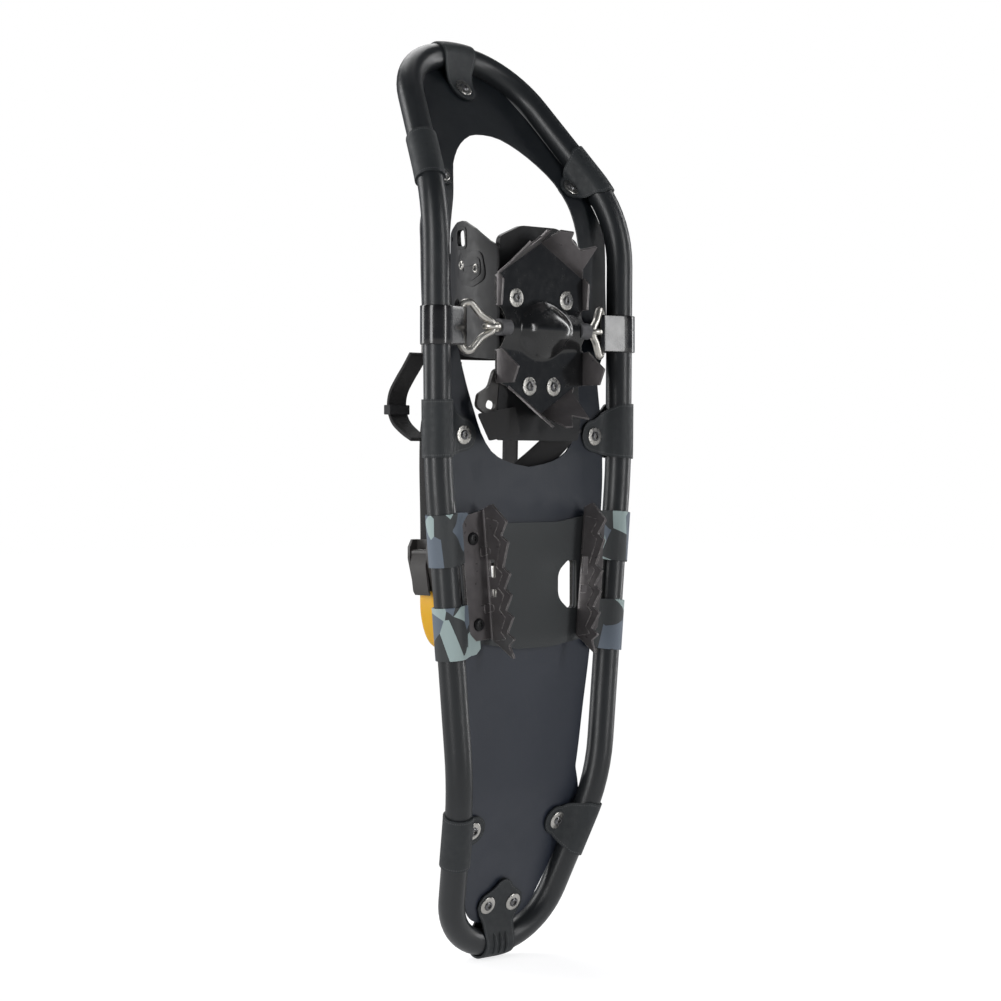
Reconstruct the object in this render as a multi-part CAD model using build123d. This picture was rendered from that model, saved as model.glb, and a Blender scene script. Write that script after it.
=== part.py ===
from build123d import *
import math
import os

# A right-foot snowshoe of the 9 x 30 inch class, standing on its tail with the nose up.
# +Z runs from the tail to the nose, +X across the shoe and +Y towards the boot side, so the
# crampons face -Y. Everything is modelled about the straight tubes' own plane, which is depth
# zero, and moved back by MID_DEPTH when it is written, so the origin is under the middle of the box.
MID_DEPTH = 33.53

# Frame tube: outer and inner radius, and the corners of its centre line on the right-hand side.
TUBE_R = 11.0
TUBE_INNER_R = 9.4
TAIL_SEAM = 0.2
TAIL_RISE, TAIL_Z = 48.5, 13.6
NOSE_RISE, NOSE_Z = 98.7, 757.7
TAIL_CORNER = (48.3, TAIL_RISE, TAIL_Z)
TAIL_BEND = (78.3, 0, 149)
WAIST = (102.9, 0, 410)
NOSE_BEND = (105, 0, 621)
NOSE_CORNER = (56, NOSE_RISE, NOSE_Z)
BEND_RADII = [56, 180, 500, 115, 72]
TAIL_SLOPE = math.atan2(TAIL_RISE, TAIL_BEND[2] - TAIL_Z)
NOSE_SLOPE = math.atan2(NOSE_RISE, NOSE_Z - NOSE_BEND[2])

# Deck sheet.
DECK_T = 1.5
STRAP_R = 12.9
CORE_R = TUBE_R + 0.05
LEAF = 2.8

# Toe pivot: the axis that the binding turns on, across the shoe.
PIVOT_DEPTH, PIVOT_Z = -14.5, 522.0
AXLE_R = 4.0
RUNNING_GAP = 0.05
RING_WIRE_R = 3.0
RING_BAR_X, RING_BAR_DEPTH = 81.0, -2.0
RING_TIP_X = 57.6

# Toe crampon plate.
PLATE_T = 2.0
PLATE_DEPTH = -12.0
TOOTH_SPLAY = math.radians(30)

# Fasteners.
WASHER_R, WASHER_T = 7.7, 1.0
HEAD_R, HEAD_H = 4.8, 2.0
SHANK_R, HOLE_R = 2.0, 2.15
NUT_R, NUT_H = 5.5, 1.6

# Heel: crampon brackets, traction plate and wire lift.
BRACKET_T = 2.4
BRACKET_LEAN = math.degrees(math.atan2(WAIST[0] - TAIL_BEND[0], WAIST[2] - TAIL_BEND[2]))
BRACKET_X, BRACKET_Z = 51.2, 322.0
PANEL_FRONT, PANEL_BACK = -3.0, 0.2
HEEL_PLATE_TOP, HEEL_REST = 5.4, 12.0
BAIL_R = 2.0
BAIL_DEPTH, BAIL_Z = 9.8, 338.0

parts = {}
screw_places = []


def mirrored(shape):
    return mirror(shape, about=Plane.YZ)


def front_prism(sketch, near, far):
    """An outline seen from the front, in X and Z, made solid between two depths."""
    return extrude(Plane.XZ.offset(-far) * sketch, amount=far - near)


def side_prism(points, low_x, high_x):
    """An outline seen from the side, in depth and height, made solid between two X places."""
    outline = make_face(Polyline(*points, close=True))
    return extrude(Plane.YZ.offset(low_x) * outline, amount=high_x - low_x)


def rounded(corners, close=True):
    """A closed face from (x, y, radius) corners."""
    points = [(x, y) for x, y, _ in corners]
    return make_face(FilletPolyline(*points, radius=[r for _, _, r in corners], close=close))


def both_sides(corners):
    """The corners of a symmetric outline, given those on the right from the bottom up."""
    return corners + [(-x, y, r) for x, y, r in reversed(corners)]


def band(points, thickness):
    """A face of even thickness along a smooth open line."""
    line = Spline(*points)
    steps = 2 * len(points)
    edges = []
    for side in (-thickness / 2, thickness / 2):
        shifted = []
        for step in range(steps + 1):
            at = line @ (step / steps)
            along = line % (step / steps)
            shifted.append((at.X - side * along.Y, at.Y + side * along.X))
        edges.append(Spline(*shifted))
    first, second = edges
    ends = [Line(first @ 0, second @ 0), Line(first @ 1, second @ 1)]
    return make_face([*first.edges(), *second.edges(), *ends[0].edges(), *ends[1].edges()])


def rod(start, end, radius):
    """A round bar between two points."""
    start, end = Vector(*start), Vector(*end)
    plane = Plane(origin=start, z_dir=end - start)
    return extrude(plane * Circle(radius), amount=(end - start).length)


def tube_path():
    right = [(TAIL_SEAM, TAIL_RISE, TAIL_Z), TAIL_CORNER, TAIL_BEND, WAIST, NOSE_BEND, NOSE_CORNER]
    left = [(-x, y, z) for x, y, z in reversed(right)]
    return FilletPolyline(*right, *left, radius=BEND_RADII + BEND_RADII[::-1])


def along_tube(outer, inner=None):
    """The frame tube's own route swept with a disc or a ring."""
    face = Circle(outer)
    if inner:
        face = face - Circle(inner)
    start = Plane(origin=path @ 0, z_dir=path % 0)
    return sweep(start * face, path=path)


def deck_line():
    """Depth and height of the deck's middle, from the tail to the nose."""
    tail = [(45.3, 28), (39.5, 46), (30.5, 80), (21.6, 112), (11.5, 149)]
    body = [(6.5, 212), (3, 255), (1, 310), (1.2, 370), (2.4, 410), (3.4, 436)]
    arms = [(10, 480), (15.4, 520), (17.6, 560), (18.4, 595), (21.8, 626), (29.7, 645.6)]
    nose = [(38.8, 660), (49.5, 676), (57.6, 688), (86, 729.5), (98, 746)]
    return tail + body + arms + nose


def deck_outline():
    corners = [(31, 31, 30), (50, 75, 60), (60, 100, 10), (68, 138, 6), (61, 158, 14), (85, 400, 200)]
    corners += [(87.5, 488, 12), (104.5, 516, 20), (105, 606, 40), (80, 664, 60), (64, 708, 60)]
    corners += [(49, 731, 30), (28, 745.5, 20)]
    return rounded(both_sides(corners))


def foot_opening():
    right = [(0, 409.5), (24, 413.5), (42, 421.5), (53, 436), (59, 455), (65, 480), (70, 510), (73.5, 550)]
    right += [(74, 590), (69, 620), (57, 652), (43.6, 668), (26, 681), (0, 688)]
    left = [(-x, z) for x, z in reversed(right[1:-1])]
    return make_face(Spline(*right, *left, periodic=True))


def heel_windows():
    window = rounded([(50, 292, 3), (50, 332, 3), (36, 332, 6), (29, 321, 8), (29, 303, 8), (36, 292, 6)])
    return window + mirror(window, about=Plane.YZ)


path = tube_path()
tube_core = along_tube(CORE_R)
strap_shell = along_tube(STRAP_R, CORE_R)
deck_cut = front_prism(deck_outline() - foot_opening() - heel_windows(), -60, 150)
deck = extrude(Plane.YZ * band(deck_line(), DECK_T), amount=130, both=True) & deck_cut
slot_cut = front_prism(offset(deck_outline(), 0.6), -60, 150)
deck_slot = extrude(Plane.YZ * band(deck_line(), DECK_T + 0.3), amount=130, both=True) & slot_cut


def sheet_frame(origin, along):
    """Inboard, along and up directions of the sheet beside a tube on the right-hand side."""
    axis = Vector(*along).normalized()
    up = axis.cross(Vector(1, 0, 0)).normalized()
    inboard = axis.cross(up)
    section = Plane(origin=origin, x_dir=inboard, z_dir=-axis)
    plan = Plane(origin=origin, x_dir=inboard, z_dir=up)
    return section, plan


def clip_body(section, plan, outline, wedge):
    """A strap round the tube that closes on the deck: outline is its shape seen from above."""
    solid = strap_shell + extrude(section * wedge, amount=40, both=True)
    solid = solid & extrude(plan * outline, amount=30, both=True)
    return solid - tube_core - deck_slot


def wedge_section(reach, end, seat):
    points = [(0, -STRAP_R), (reach, seat - LEAF), (end, seat - LEAF)]
    points += [(end, seat + LEAF), (reach, seat + LEAF), (0, STRAP_R)]
    return make_face(Polyline(*points, close=True))


def tab_clip(origin, along, length, reach, shift, tab_r, seat):
    """A strap clip with one screwed tab, and the place of its screw."""
    section, plan = sheet_frame(origin, along)
    end = reach + tab_r
    band_part = Pos(-3, 0) * Rectangle(22, length)
    tongue = Polyline((8, length / 2), (reach + 2, shift + tab_r), (reach + 2, shift - tab_r), (8, -length / 2), close=True)
    outline = band_part + make_face(tongue) + Pos(reach, shift) * Circle(tab_r)
    body = clip_body(section, plan, outline, wedge_section(reach - 9, end + 2, seat))
    spot = plan.from_local_coords((reach, shift, seat - LEAF))
    place = Plane(origin=spot, x_dir=plan.x_dir, z_dir=-plan.z_dir)
    hole = extrude(place * Circle(HOLE_R), amount=15, both=True)
    screw_places.append(place)
    return body - hole


def between(first, second, height):
    """The point of a straight run at a given height."""
    share = (height - first[2]) / (second[2] - first[2])
    return tuple(a + share * (b - a) for a, b in zip(first, second))


def direction(first, second):
    return tuple(b - a for a, b in zip(first, second))


# Frame.
parts["frame_tube"] = along_tube(TUBE_R, TUBE_INNER_R)
splice_points = [between(TAIL_CORNER, TAIL_BEND, 80), TAIL_CORNER]
splice_points += [(-x, y, z) for x, y, z in reversed(splice_points)]
splice_path = FilletPolyline(*splice_points, radius=[BEND_RADII[0]] * 2)
splice_face = Circle(TUBE_INNER_R - RUNNING_GAP) - Circle(TUBE_INNER_R - 1.6)
splice = sweep(Plane(origin=splice_path @ 0, z_dir=splice_path % 0) * splice_face, path=splice_path)
parts["frame_splice"] = splice & Pos(0, TAIL_RISE, TAIL_Z) * Box(70, 80, 80)

# Strap clips: the right-hand one of each pair, and its mirror image.
tail_run = (TAIL_CORNER, TAIL_BEND)
nose_run = (NOSE_BEND, NOSE_CORNER)
clip_table = {
    "upper_clip": (between(*nose_run, 658), direction(*nose_run), 46, 19.5, -3, 11, 9.8),
    "mid_clip": (between(WAIST, NOSE_BEND, 440), direction(WAIST, NOSE_BEND), 46, 28.5, -5, 14, 3.2),
    "lower_clip": (between(*tail_run, 108), direction(*tail_run), 46, 21.5, -1, 13, 7.6),
}
for name, shape in clip_table.items():
    clip = tab_clip(*shape)
    parts[name + "_right"] = clip
    parts[name + "_left"] = mirrored(clip)

paired_places = list(screw_places)
screw_places.clear()


def nose_clip():
    up = Vector(0, math.cos(NOSE_SLOPE), -math.sin(NOSE_SLOPE))
    inboard = Vector(0, -math.sin(NOSE_SLOPE), -math.cos(NOSE_SLOPE))
    origin = (0, NOSE_RISE, NOSE_Z)
    section = Plane(origin=origin, x_dir=inboard, z_dir=inboard.cross(up))
    plan = Plane(origin=origin, x_dir=inboard, z_dir=up)
    band_part = Pos(-3, 0) * Rectangle(22, 37)
    tongue = Polyline((8, 18.5), (22, 14), (38, 13), (38, -13), (22, -14), (8, -18.5), close=True)
    outline = band_part + make_face(tongue) + Pos(36, 0) * Circle(13)
    body = clip_body(section, plan, outline, wedge_section(24, 52, 5.7))
    place = Plane(origin=plan.from_local_coords((36, 0, 5.7 - LEAF)), x_dir=inboard, z_dir=-up)
    screw_places.append(place)
    return body - extrude(place * Circle(HOLE_R), amount=15, both=True)


def tail_clip():
    up = Vector(0, math.cos(TAIL_SLOPE), math.sin(TAIL_SLOPE))
    inboard = Vector(0, -math.sin(TAIL_SLOPE), math.cos(TAIL_SLOPE))
    origin = (0, TAIL_RISE, TAIL_Z)
    section = Plane(origin=origin, x_dir=inboard, z_dir=inboard.cross(up))
    plan = Plane(origin=origin, x_dir=inboard, z_dir=up)
    half = [(-14, 16, 1), (20, 16, 12), (31, 26, 6), (42, 24, 8), (57, 0, 3)]
    outline = rounded(half + [(x, -y, r) for x, y, r in reversed(half[:-1])])
    body = clip_body(section, plan, outline, wedge_section(26, 60, 2.8))
    ribs = along_tube(STRAP_R + 0.7, CORE_R)
    for across in (-9, 0, 9):
        rib_room = Pos(across, TAIL_RISE, TAIL_Z) * Box(2.6, 60, 40)
        front = extrude(plan * (Pos(-5, 0) * Rectangle(26, 60)), amount=-30)
        body = body + (ribs & rib_room & front)
    for across in (-14.4, 14.4):
        spot = plan.from_local_coords((34.6, across, 2.8 - LEAF))
        place = Plane(origin=spot, x_dir=inboard, z_dir=-up)
        screw_places.append(place)
        body = body - extrude(place * Circle(HOLE_R), amount=15, both=True)
    seam = Pos(0, TAIL_RISE, TAIL_Z) * Rot(0, 90, 0) * Cylinder(CORE_R, 2)
    return body - seam


parts["nose_clip"] = nose_clip()
parts["tail_clip"] = tail_clip()


def washer():
    return extrude(Circle(WASHER_R) - Circle(HOLE_R), amount=WASHER_T)


def screw(length):
    """A pan head over the washer with a hexagon recess, and its shank down into the joint."""
    head = Pos(0, 0, WASHER_T) * extrude(Circle(HEAD_R), amount=HEAD_H)
    head = fillet(head.faces().sort_by(Axis.Z)[-1].edges(), 0.9)
    recess = Pos(0, 0, WASHER_T + HEAD_H - 1.2) * extrude(RegularPolygon(1.7, 6), amount=2)
    shank = Pos(0, 0, WASHER_T - length) * extrude(Circle(SHANK_R), amount=length)
    return head - recess + shank


def nut(below):
    """A flanged nut under the joint, this far below the washer's seat."""
    body = extrude(Circle(NUT_R) - Circle(HOLE_R), amount=NUT_H)
    return Pos(0, 0, -below - NUT_H) * body


def at_places(shape, places):
    """A fastener put at every place, and at the mirror image of the paired ones."""
    return [place.location * shape for place in places]


clip_places = paired_places + screw_places
stack = 2 * LEAF
clip_screws = at_places(screw(WASHER_T + stack + NUT_H), clip_places)
clip_washers = at_places(washer(), clip_places)
clip_nuts = at_places(nut(stack + 0.05), clip_places)
for group in (clip_screws, clip_washers, clip_nuts):
    group.extend([mirrored(solid) for solid in group[: len(paired_places)]])
parts["clip_screws"] = Compound(clip_screws)
parts["clip_washers"] = Compound(clip_washers)
parts["clip_nuts"] = Compound(clip_nuts)

for place in paired_places:
    hole = extrude(place * Circle(HOLE_R), amount=15, both=True)
    deck = deck - hole - mirrored(hole)
for place in screw_places:
    deck = deck - extrude(place * Circle(HOLE_R), amount=15, both=True)


# Heel panel: a plate between the tubes with four straps that wrap them.
def heel_panel():
    right = [(28, 259, 60), (74, 255, 10), (96, 255, 1), (96, 298, 1), (80, 298, 6), (81, 330, 6)]
    right += [(106, 330, 1), (106, 372, 1), (78, 372, 10), (28, 365, 60)]
    plate = front_prism(rounded(both_sides(right)), PANEL_FRONT, PANEL_BACK)
    solid = plate
    for low, high in ((255.5, 298), (330, 372)):
        middle = (low + high) / 2
        section, plan = sheet_frame(between(TAIL_BEND, WAIST, middle), direction(TAIL_BEND, WAIST))
        outline = Pos(6, 0) * Rectangle(40, high - low)
        points = [(0, -STRAP_R), (8, -9), (15, PANEL_FRONT), (25, PANEL_FRONT)]
        points += [(25, PANEL_BACK), (15, PANEL_BACK), (8, 9), (0, STRAP_R)]
        strap = strap_shell + extrude(section * make_face(Polyline(*points, close=True)), amount=40, both=True)
        strap = strap & extrude(plan * outline, amount=30, both=True)
        solid = solid + strap + mirrored(strap)
    window = front_prism(heel_windows(), -60, 60)
    return solid - tube_core - deck_slot - window


# Heel crampons: an angle bracket with a toothed wall, leaning with the frame's taper.
def bracket_place():
    return Pos(BRACKET_X, PANEL_FRONT, BRACKET_Z) * Rot(0, BRACKET_LEAN, 0)


def heel_bracket():
    foot = [(0, -51, 2), (0, 51, 2), (20, 51, 0), (27, 43, 0), (27, -43, 0), (20, -51, 0)]
    corners = [(x, y) for x, y, _ in foot]
    base = front_prism(make_face(Polyline(*corners, close=True)), -BRACKET_T, 0)
    tips = (44, 27.5, 2, -15, -33, -51)
    valley_up = 5
    wall = [(0, 58), (-12, 58)]
    for index, tip in enumerate(tips):
        wall.append((-28, tip))
        if index + 1 < len(tips):
            wall.append((-20, tips[index + 1] + valley_up))
    wall += [(-21, -56), (-27, -68), (-12, -58), (0, -51)]
    solid = base + side_prism(wall, 0, BRACKET_T)
    for low, high in ((-1.5, 13), (-17, -11)):
        solid = solid - Pos(1, -7.5, (low + high) / 2) * Box(8, 9, high - low)
    for height in (31.5, -38):
        solid = solid - Pos(16, 0, height) * Rot(90, 0, 0) * Cylinder(HOLE_R, 10)
    return bracket_place() * solid


parts["heel_panel"] = heel_panel()
parts["heel_crampon_right"] = heel_bracket()
parts["heel_crampon_left"] = mirrored(parts["heel_crampon_right"])

heel_stack = BRACKET_T + HEEL_PLATE_TOP - PANEL_FRONT
heel_places = []
for height in (31.5, -38):
    spot = bracket_place() * Pos(16, -BRACKET_T, height)
    heel_places.append(Plane(origin=spot.position, x_dir=(1, 0, 0), z_dir=(0, -1, 0)))
heel_screws, heel_nuts = [], []
for place in heel_places:
    bolt = place.location * Pos(0, 0, -WASHER_T) * screw(WASHER_T + heel_stack + NUT_H)
    cap = place.location * nut(heel_stack + 0.05)
    heel_screws += [bolt, mirrored(bolt)]
    heel_nuts += [cap, mirrored(cap)]
parts["heel_crampon_screws"] = Compound(heel_screws)
parts["heel_crampon_nuts"] = Compound(heel_nuts)


# Heel plate under the boot, with the wire lift folded down on it.
def heel_plate():
    outline = rounded(both_sides([(74, 268, 12), (80, 374, 12)]))
    plate = front_prism(outline, 1.9, HEEL_PLATE_TOP)
    plate = plate - deck_slot - front_prism(heel_windows(), -20, 40)
    for place in heel_places:
        hole = extrude(place * Circle(HOLE_R), amount=30, both=True)
        plate = plate - hole - mirrored(hole)
    return plate + front_prism(Pos(0, 311) * RectangleRounded(54, 34, 6), HEEL_PLATE_TOP - 1, HEEL_REST)


def bail_bracket():
    side = [(HEEL_PLATE_TOP + 0.02, 329), (HEEL_PLATE_TOP + 0.02, 350), (10.5, 346), (13.5, 341), (13.5, 335), (10.5, 329)]
    lug = side_prism(side, 37, 42)
    foot = front_prism(Pos(44.5, 347) * Rectangle(15, 12), HEEL_PLATE_TOP + 0.02, HEEL_PLATE_TOP + 2)
    bore = Pos(40, BAIL_DEPTH, BAIL_Z) * Rot(0, 90, 0) * Cylinder(BAIL_R + RUNNING_GAP, 20)
    return lug + foot - bore


def heel_lift_bail():
    half = [(44.5, BAIL_DEPTH, BAIL_Z), (31.5, BAIL_DEPTH, BAIL_Z), (31.5, BAIL_DEPTH, 288)]
    other = [(-x, y, z) for x, y, z in reversed(half)]
    line = FilletPolyline(*half, *other, radius=[4.5, 9, 9, 4.5])
    return sweep(Plane(origin=line @ 0, z_dir=line % 0) * Circle(BAIL_R), path=line)


parts["heel_plate"] = heel_plate()
parts["bail_bracket_right"] = bail_bracket()
parts["bail_bracket_left"] = mirrored(bail_bracket())
parts["heel_lift_bail"] = heel_lift_bail()

for place in heel_places:
    hole = extrude(place * Circle(HOLE_R), amount=30, both=True)
    deck = deck - hole - mirrored(hole)
    parts["heel_panel"] = parts["heel_panel"] - hole - mirrored(hole)
parts["deck"] = deck - tube_core


# Toe pivot: straps, rings, axle and bushings.
def toe_strap():
    centre = between(WAIST, NOSE_BEND, 521)
    section, _ = sheet_frame(centre, direction(WAIST, NOSE_BEND))
    bar = (centre[0] - RING_BAR_X, RING_BAR_DEPTH)
    loops = []
    for tube_r, bar_r in ((TUBE_R + 2.2, RING_WIRE_R + 2.6), (CORE_R, RING_WIRE_R + 0.3)):
        circles = Circle(tube_r).edges() + (Pos(*bar) * Circle(bar_r)).edges()
        loops.append(make_hull(circles))
    return extrude(section * (loops[0] - loops[1]), amount=15, both=True)


def toe_ring():
    bar = Vector(RING_BAR_X, RING_BAR_DEPTH, PIVOT_Z)
    tip = Vector(RING_TIP_X, PIVOT_DEPTH, PIVOT_Z)
    beyond = tip + (tip - bar).normalized() * 4.2
    half_height = Vector(0, 0, 22)
    line = FilletPolyline(bar - half_height, beyond, bar + half_height, radius=[6, 6.5, 6], close=True)
    return sweep(Plane(origin=line @ 0, z_dir=line % 0) * Circle(RING_WIRE_R), path=line)


def toe_axle():
    shaft = Pos(0, PIVOT_DEPTH, PIVOT_Z) * Rot(0, 90, 0) * Cylinder(AXLE_R, 2 * 52.2)
    eye = Pos(58.1, PIVOT_DEPTH, PIVOT_Z) * Torus(5.8, 2.2)
    bar_hole = Pos(58.1, PIVOT_DEPTH, PIVOT_Z) * Cylinder(3.6, 12)
    return shaft + eye + mirrored(eye) - bar_hole - mirrored(bar_hole)


def toe_bushing():
    solid = Rot(0, 90, 0) * (Cylinder(6.8, 11.2) - Cylinder(AXLE_R + RUNNING_GAP, 12))
    return Pos(45.1, PIVOT_DEPTH, PIVOT_Z) * solid


ring = toe_ring()
for name, shape in (("toe_strap", toe_strap() - ring), ("toe_ring", ring), ("toe_bushing", toe_bushing())):
    parts[name + "_right"] = shape
    parts[name + "_left"] = mirrored(shape)
parts["toe_axle"] = toe_axle()


# Toe crampon: a plate with a cross tunnel, splayed front and rear teeth and two side teeth.
def splayed_teeth(apex, corner, points):
    """One toothed flange, from the plate's apex to its right-hand corner: points are (along, out)."""
    start = Vector(0, PLATE_DEPTH, apex)
    edge = (Vector(corner[0], PLATE_DEPTH, corner[1]) - start).normalized()
    outward = Vector(-edge.Z, 0, edge.X)
    if corner[1] > apex:
        outward = Vector(edge.Z, 0, -edge.X)
    out = outward * math.sin(TOOTH_SPLAY) + Vector(0, -1, 0) * math.cos(TOOTH_SPLAY)
    plane = Plane(origin=start, x_dir=edge, z_dir=edge.cross(out))
    flange = extrude(plane * make_face(Polyline(*points, close=True)), amount=PLATE_T / 2, both=True)
    return flange + mirrored(flange)


def toe_crampon():
    right = [(0, 452), (40, 476), (50, 478), (50, 505), (40, 505), (40, 539), (50, 539), (50, 565), (0, 594)]
    left = [(-x, z) for x, z in reversed(right[1:-1])]
    plate = front_prism(make_face(Polyline(*right, *left, close=True)), PLATE_DEPTH, PLATE_DEPTH + PLATE_T)
    tunnel = Pos(0, PLATE_DEPTH, PIVOT_Z) * Rot(0, 90, 0) * Cylinder(11.8, 80)
    hollow = Pos(0, PLATE_DEPTH, PIVOT_Z) * Rot(0, 90, 0) * Cylinder(9.8, 90)
    below = Pos(0, PLATE_DEPTH - 20 + PLATE_T, PIVOT_Z) * Box(80, 40, 40)
    solid = plate + (tunnel & below) - hollow
    front = [(1, -1), (1, 20), (10.7, 27), (14, 20), (28.6, 18.8), (34.4, 32), (50, 1), (57, -1)]
    rear = [(1, -1), (1, 26), (4.9, 31), (16, 21), (21.3, 37), (38, 3), (46, -1)]
    solid = solid + splayed_teeth(594, (50, 565), front) + splayed_teeth(452, (40, 476), rear)
    tooth = [(-10, 505), (-19, 505), (-37, 491), (-30, 477), (-10, 478)]
    strip = [(-10, 539.5), (-17, 539.5), (-19, 563), (-10, 564.5)]
    for outline in (tooth, strip):
        flange = side_prism(outline, 48, 50)
        solid = solid + flange + mirrored(flange)
    for place in crampon_places:
        solid = solid - extrude(place * Circle(HOLE_R), amount=10, both=True)
    return solid


crampon_places = []
for x, z in ((28.6, 546.7), (13.7, 475.2), (-28.6, 546.7), (-13.7, 475.2)):
    crampon_places.append(Plane(origin=(x, PLATE_DEPTH, z), x_dir=(1, 0, 0), z_dir=(0, -1, 0)))
FOOTBED_BACK, FOOTBED_FRONT = -5.0, PLATE_DEPTH + PLATE_T + 0.02
crampon_stack = FOOTBED_BACK - PLATE_DEPTH
parts["toe_crampon"] = toe_crampon()
parts["crampon_screws"] = Compound(at_places(screw(WASHER_T + crampon_stack + NUT_H), crampon_places))
parts["crampon_washers"] = Compound(at_places(washer(), crampon_places))
parts["crampon_nuts"] = Compound(at_places(nut(crampon_stack + 0.05), crampon_places))


# Binding: footbed, wings, straps and buckles.
def footbed():
    corners = [(24, 431, 14), (44, 448, 16), (44.9, 480, 20), (44.9, 596, 8), (20, 606, 20)]
    plate = front_prism(rounded(both_sides(corners)), FOOTBED_FRONT, FOOTBED_BACK)
    groove = Pos(0, PIVOT_DEPTH, PIVOT_Z) * Rot(0, 90, 0) * Cylinder(7.2, 100)
    plate = plate - groove
    for place in crampon_places:
        plate = plate - extrude(place * Circle(HOLE_R), amount=30, both=True)
    return plate


WING_T = 3.0
WING_LINE = [(46.4, -12), (46.4, 0), (49, 13), (53.5, 28), (53, 44), (46, 60), (34, 71), (21, 77)]


def wing():
    """A shell that rises beside the boot's toe and curls in over it."""
    shell = extrude(band(WING_LINE, WING_T), amount=300)
    shell = Pos(0, 0, 400) * shell
    side = [(FOOTBED_FRONT, 476), (FOOTBED_FRONT, 594), (12, 603), (40, 609), (66, 606), (90, 590), (90, 522), (60, 496), (28, 474)]
    shell = shell & side_prism(side, 10, 70)
    slot = [(19, 589), (31, 592), (32, 604), (20, 601)]
    groove = Pos(0, PIVOT_DEPTH, PIVOT_Z) * Rot(0, 90, 0) * Cylinder(9.5, 140)
    shell = shell - side_prism(slot, 40, 70) - groove
    for depth, height in RIVET_SPOTS:
        shell = shell - Pos(50, depth, height) * Rot(0, 90, 0) * Cylinder(1.6, 30)
    return shell


def side_strap(points, thickness, low_z, high_z):
    """Webbing that runs round the boot, its line given in X and depth."""
    return Pos(0, 0, low_z) * extrude(band(points, thickness), amount=high_z - low_z)


RIVET_SPOTS = ((8, 566), (14, 582))
rivets = []
for depth, height in RIVET_SPOTS:
    rivet = rod((44.5, depth, height), (53, depth, height), 1.55)
    rivet = rivet + rod((50.5, depth, height), (52.6, depth, height), 3.4)
    rivets += [rivet, mirrored(rivet)]
parts["wing_right"] = wing() - Compound(rivets)
parts["wing_left"] = mirrored(parts["wing_right"])
parts["footbed"] = footbed() - parts["wing_right"] - parts["wing_left"]
parts["wing_rivets"] = Compound(rivets)

pad_line = [(-19.5, 77), (-8, 80.5), (8, 80.5), (19.5, 77)]
parts["instep_pad"] = side_strap(pad_line, 3.4, 528, 588)
strap_line = [(55.6, 45), (48.8, 62), (36, 74.2), (20, 81), (0, 83.6), (-20, 81.6), (-36, 75), (-50, 66)]
parts["instep_strap"] = side_strap(strap_line, 1.8, 500, 524)


def cam_buckle(width, place, stretch):
    """A webbing buckle, webbing along its local X at height zero: body, cam pin and cam lever."""
    base = Pos(0, 0, 1.9) * Box(28 * stretch, width + 8, 2)
    cheek_line = [(-14, 0.9), (-14, 8), (-10, 11.5), (-4, 11.5), (14, 4), (14, 0.9)]
    cheek_line = [(x * stretch, y) for x, y in cheek_line]
    body = base
    for across in (-(width + 5) / 2, (width + 5) / 2):
        cheek = extrude(Plane.XZ.offset(-across) * make_face(Polyline(*cheek_line, close=True)), amount=1.5, both=True)
        body = body + cheek
    bore = Pos(-7 * stretch, 0, 7.6) * Rot(90, 0, 0)
    body = body - bore * Cylinder(1.5, width + 20)
    pin = bore * Cylinder(1.5, width + 8)
    barrel = bore * Cylinder(3.2, width + 1)
    grip_line = [(-8, 10), (0, 11.6), (13, 8.4), (15, 6.2), (4, 8.2), (-6, 6)]
    grip_line = [(x * stretch, y) for x, y in grip_line]
    grip = extrude(Plane.XZ * make_face(Polyline(*grip_line, close=True)), amount=(width + 1) / 2, both=True)
    lever = barrel + grip - bore * Cylinder(1.5 + RUNNING_GAP, width + 20)
    return place * body, place * pin, place * lever


def buckle_place(spot, along, outward):
    return Plane(origin=spot, x_dir=along, z_dir=outward).location


instep_along = Vector(-14, -9, 0).normalized()
instep_out = Vector(-9, 14, 0).normalized()
INSTEP_SPOT = Vector(-41.5, 71.5, 512)
instep_place = buckle_place(INSTEP_SPOT, instep_along, instep_out)
body, pin, lever = cam_buckle(24, instep_place, 1.0)
parts["instep_buckle_body"] = body - parts["instep_strap"]
parts["instep_buckle_pin"] = pin
parts["instep_buckle_lever"] = lever

# The strap's free end hangs down the outer side through a keeper.
tail_line = [(67, 494.9), (80, 481), (92, 468), (97, 455), (93, 441), (80, 434), (68, 431)]
tail_face = band(tail_line, 1.8)
parts["instep_tail"] = extrude(Plane.YZ.offset(-71.5) * tail_face, amount=18)
keeper_wall = Pos(-62.5, 96, 457) * (Box(22, 8, 8) - Box(18.4, 4, 20))
parts["strap_keeper"] = keeper_wall - parts["instep_tail"]
parts["grip_patch"] = front_prism(Pos(-27, 446) * Rectangle(38, 24), -4.9, -2.9)

# Heel strap: webbing back from each wing, a moulded band round the heel, and its buckle.
heel_line = [(55.4, 500), (52.4, 474), (48.5, 420), (46.4, 368), (46.2, 340)]
heel_side = [(40, 498), (58, 498), (84, 452), (84, 330), (66, 330), (66, 448)]


def heel_webbing(low_z):
    room = side_prism(heel_side, 20, 70) & Pos(50, 60, low_z + 200) * Box(60, 100, 400)
    return extrude(Plane.XZ.offset(-90) * band(heel_line, 1.8), amount=60) & room


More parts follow.
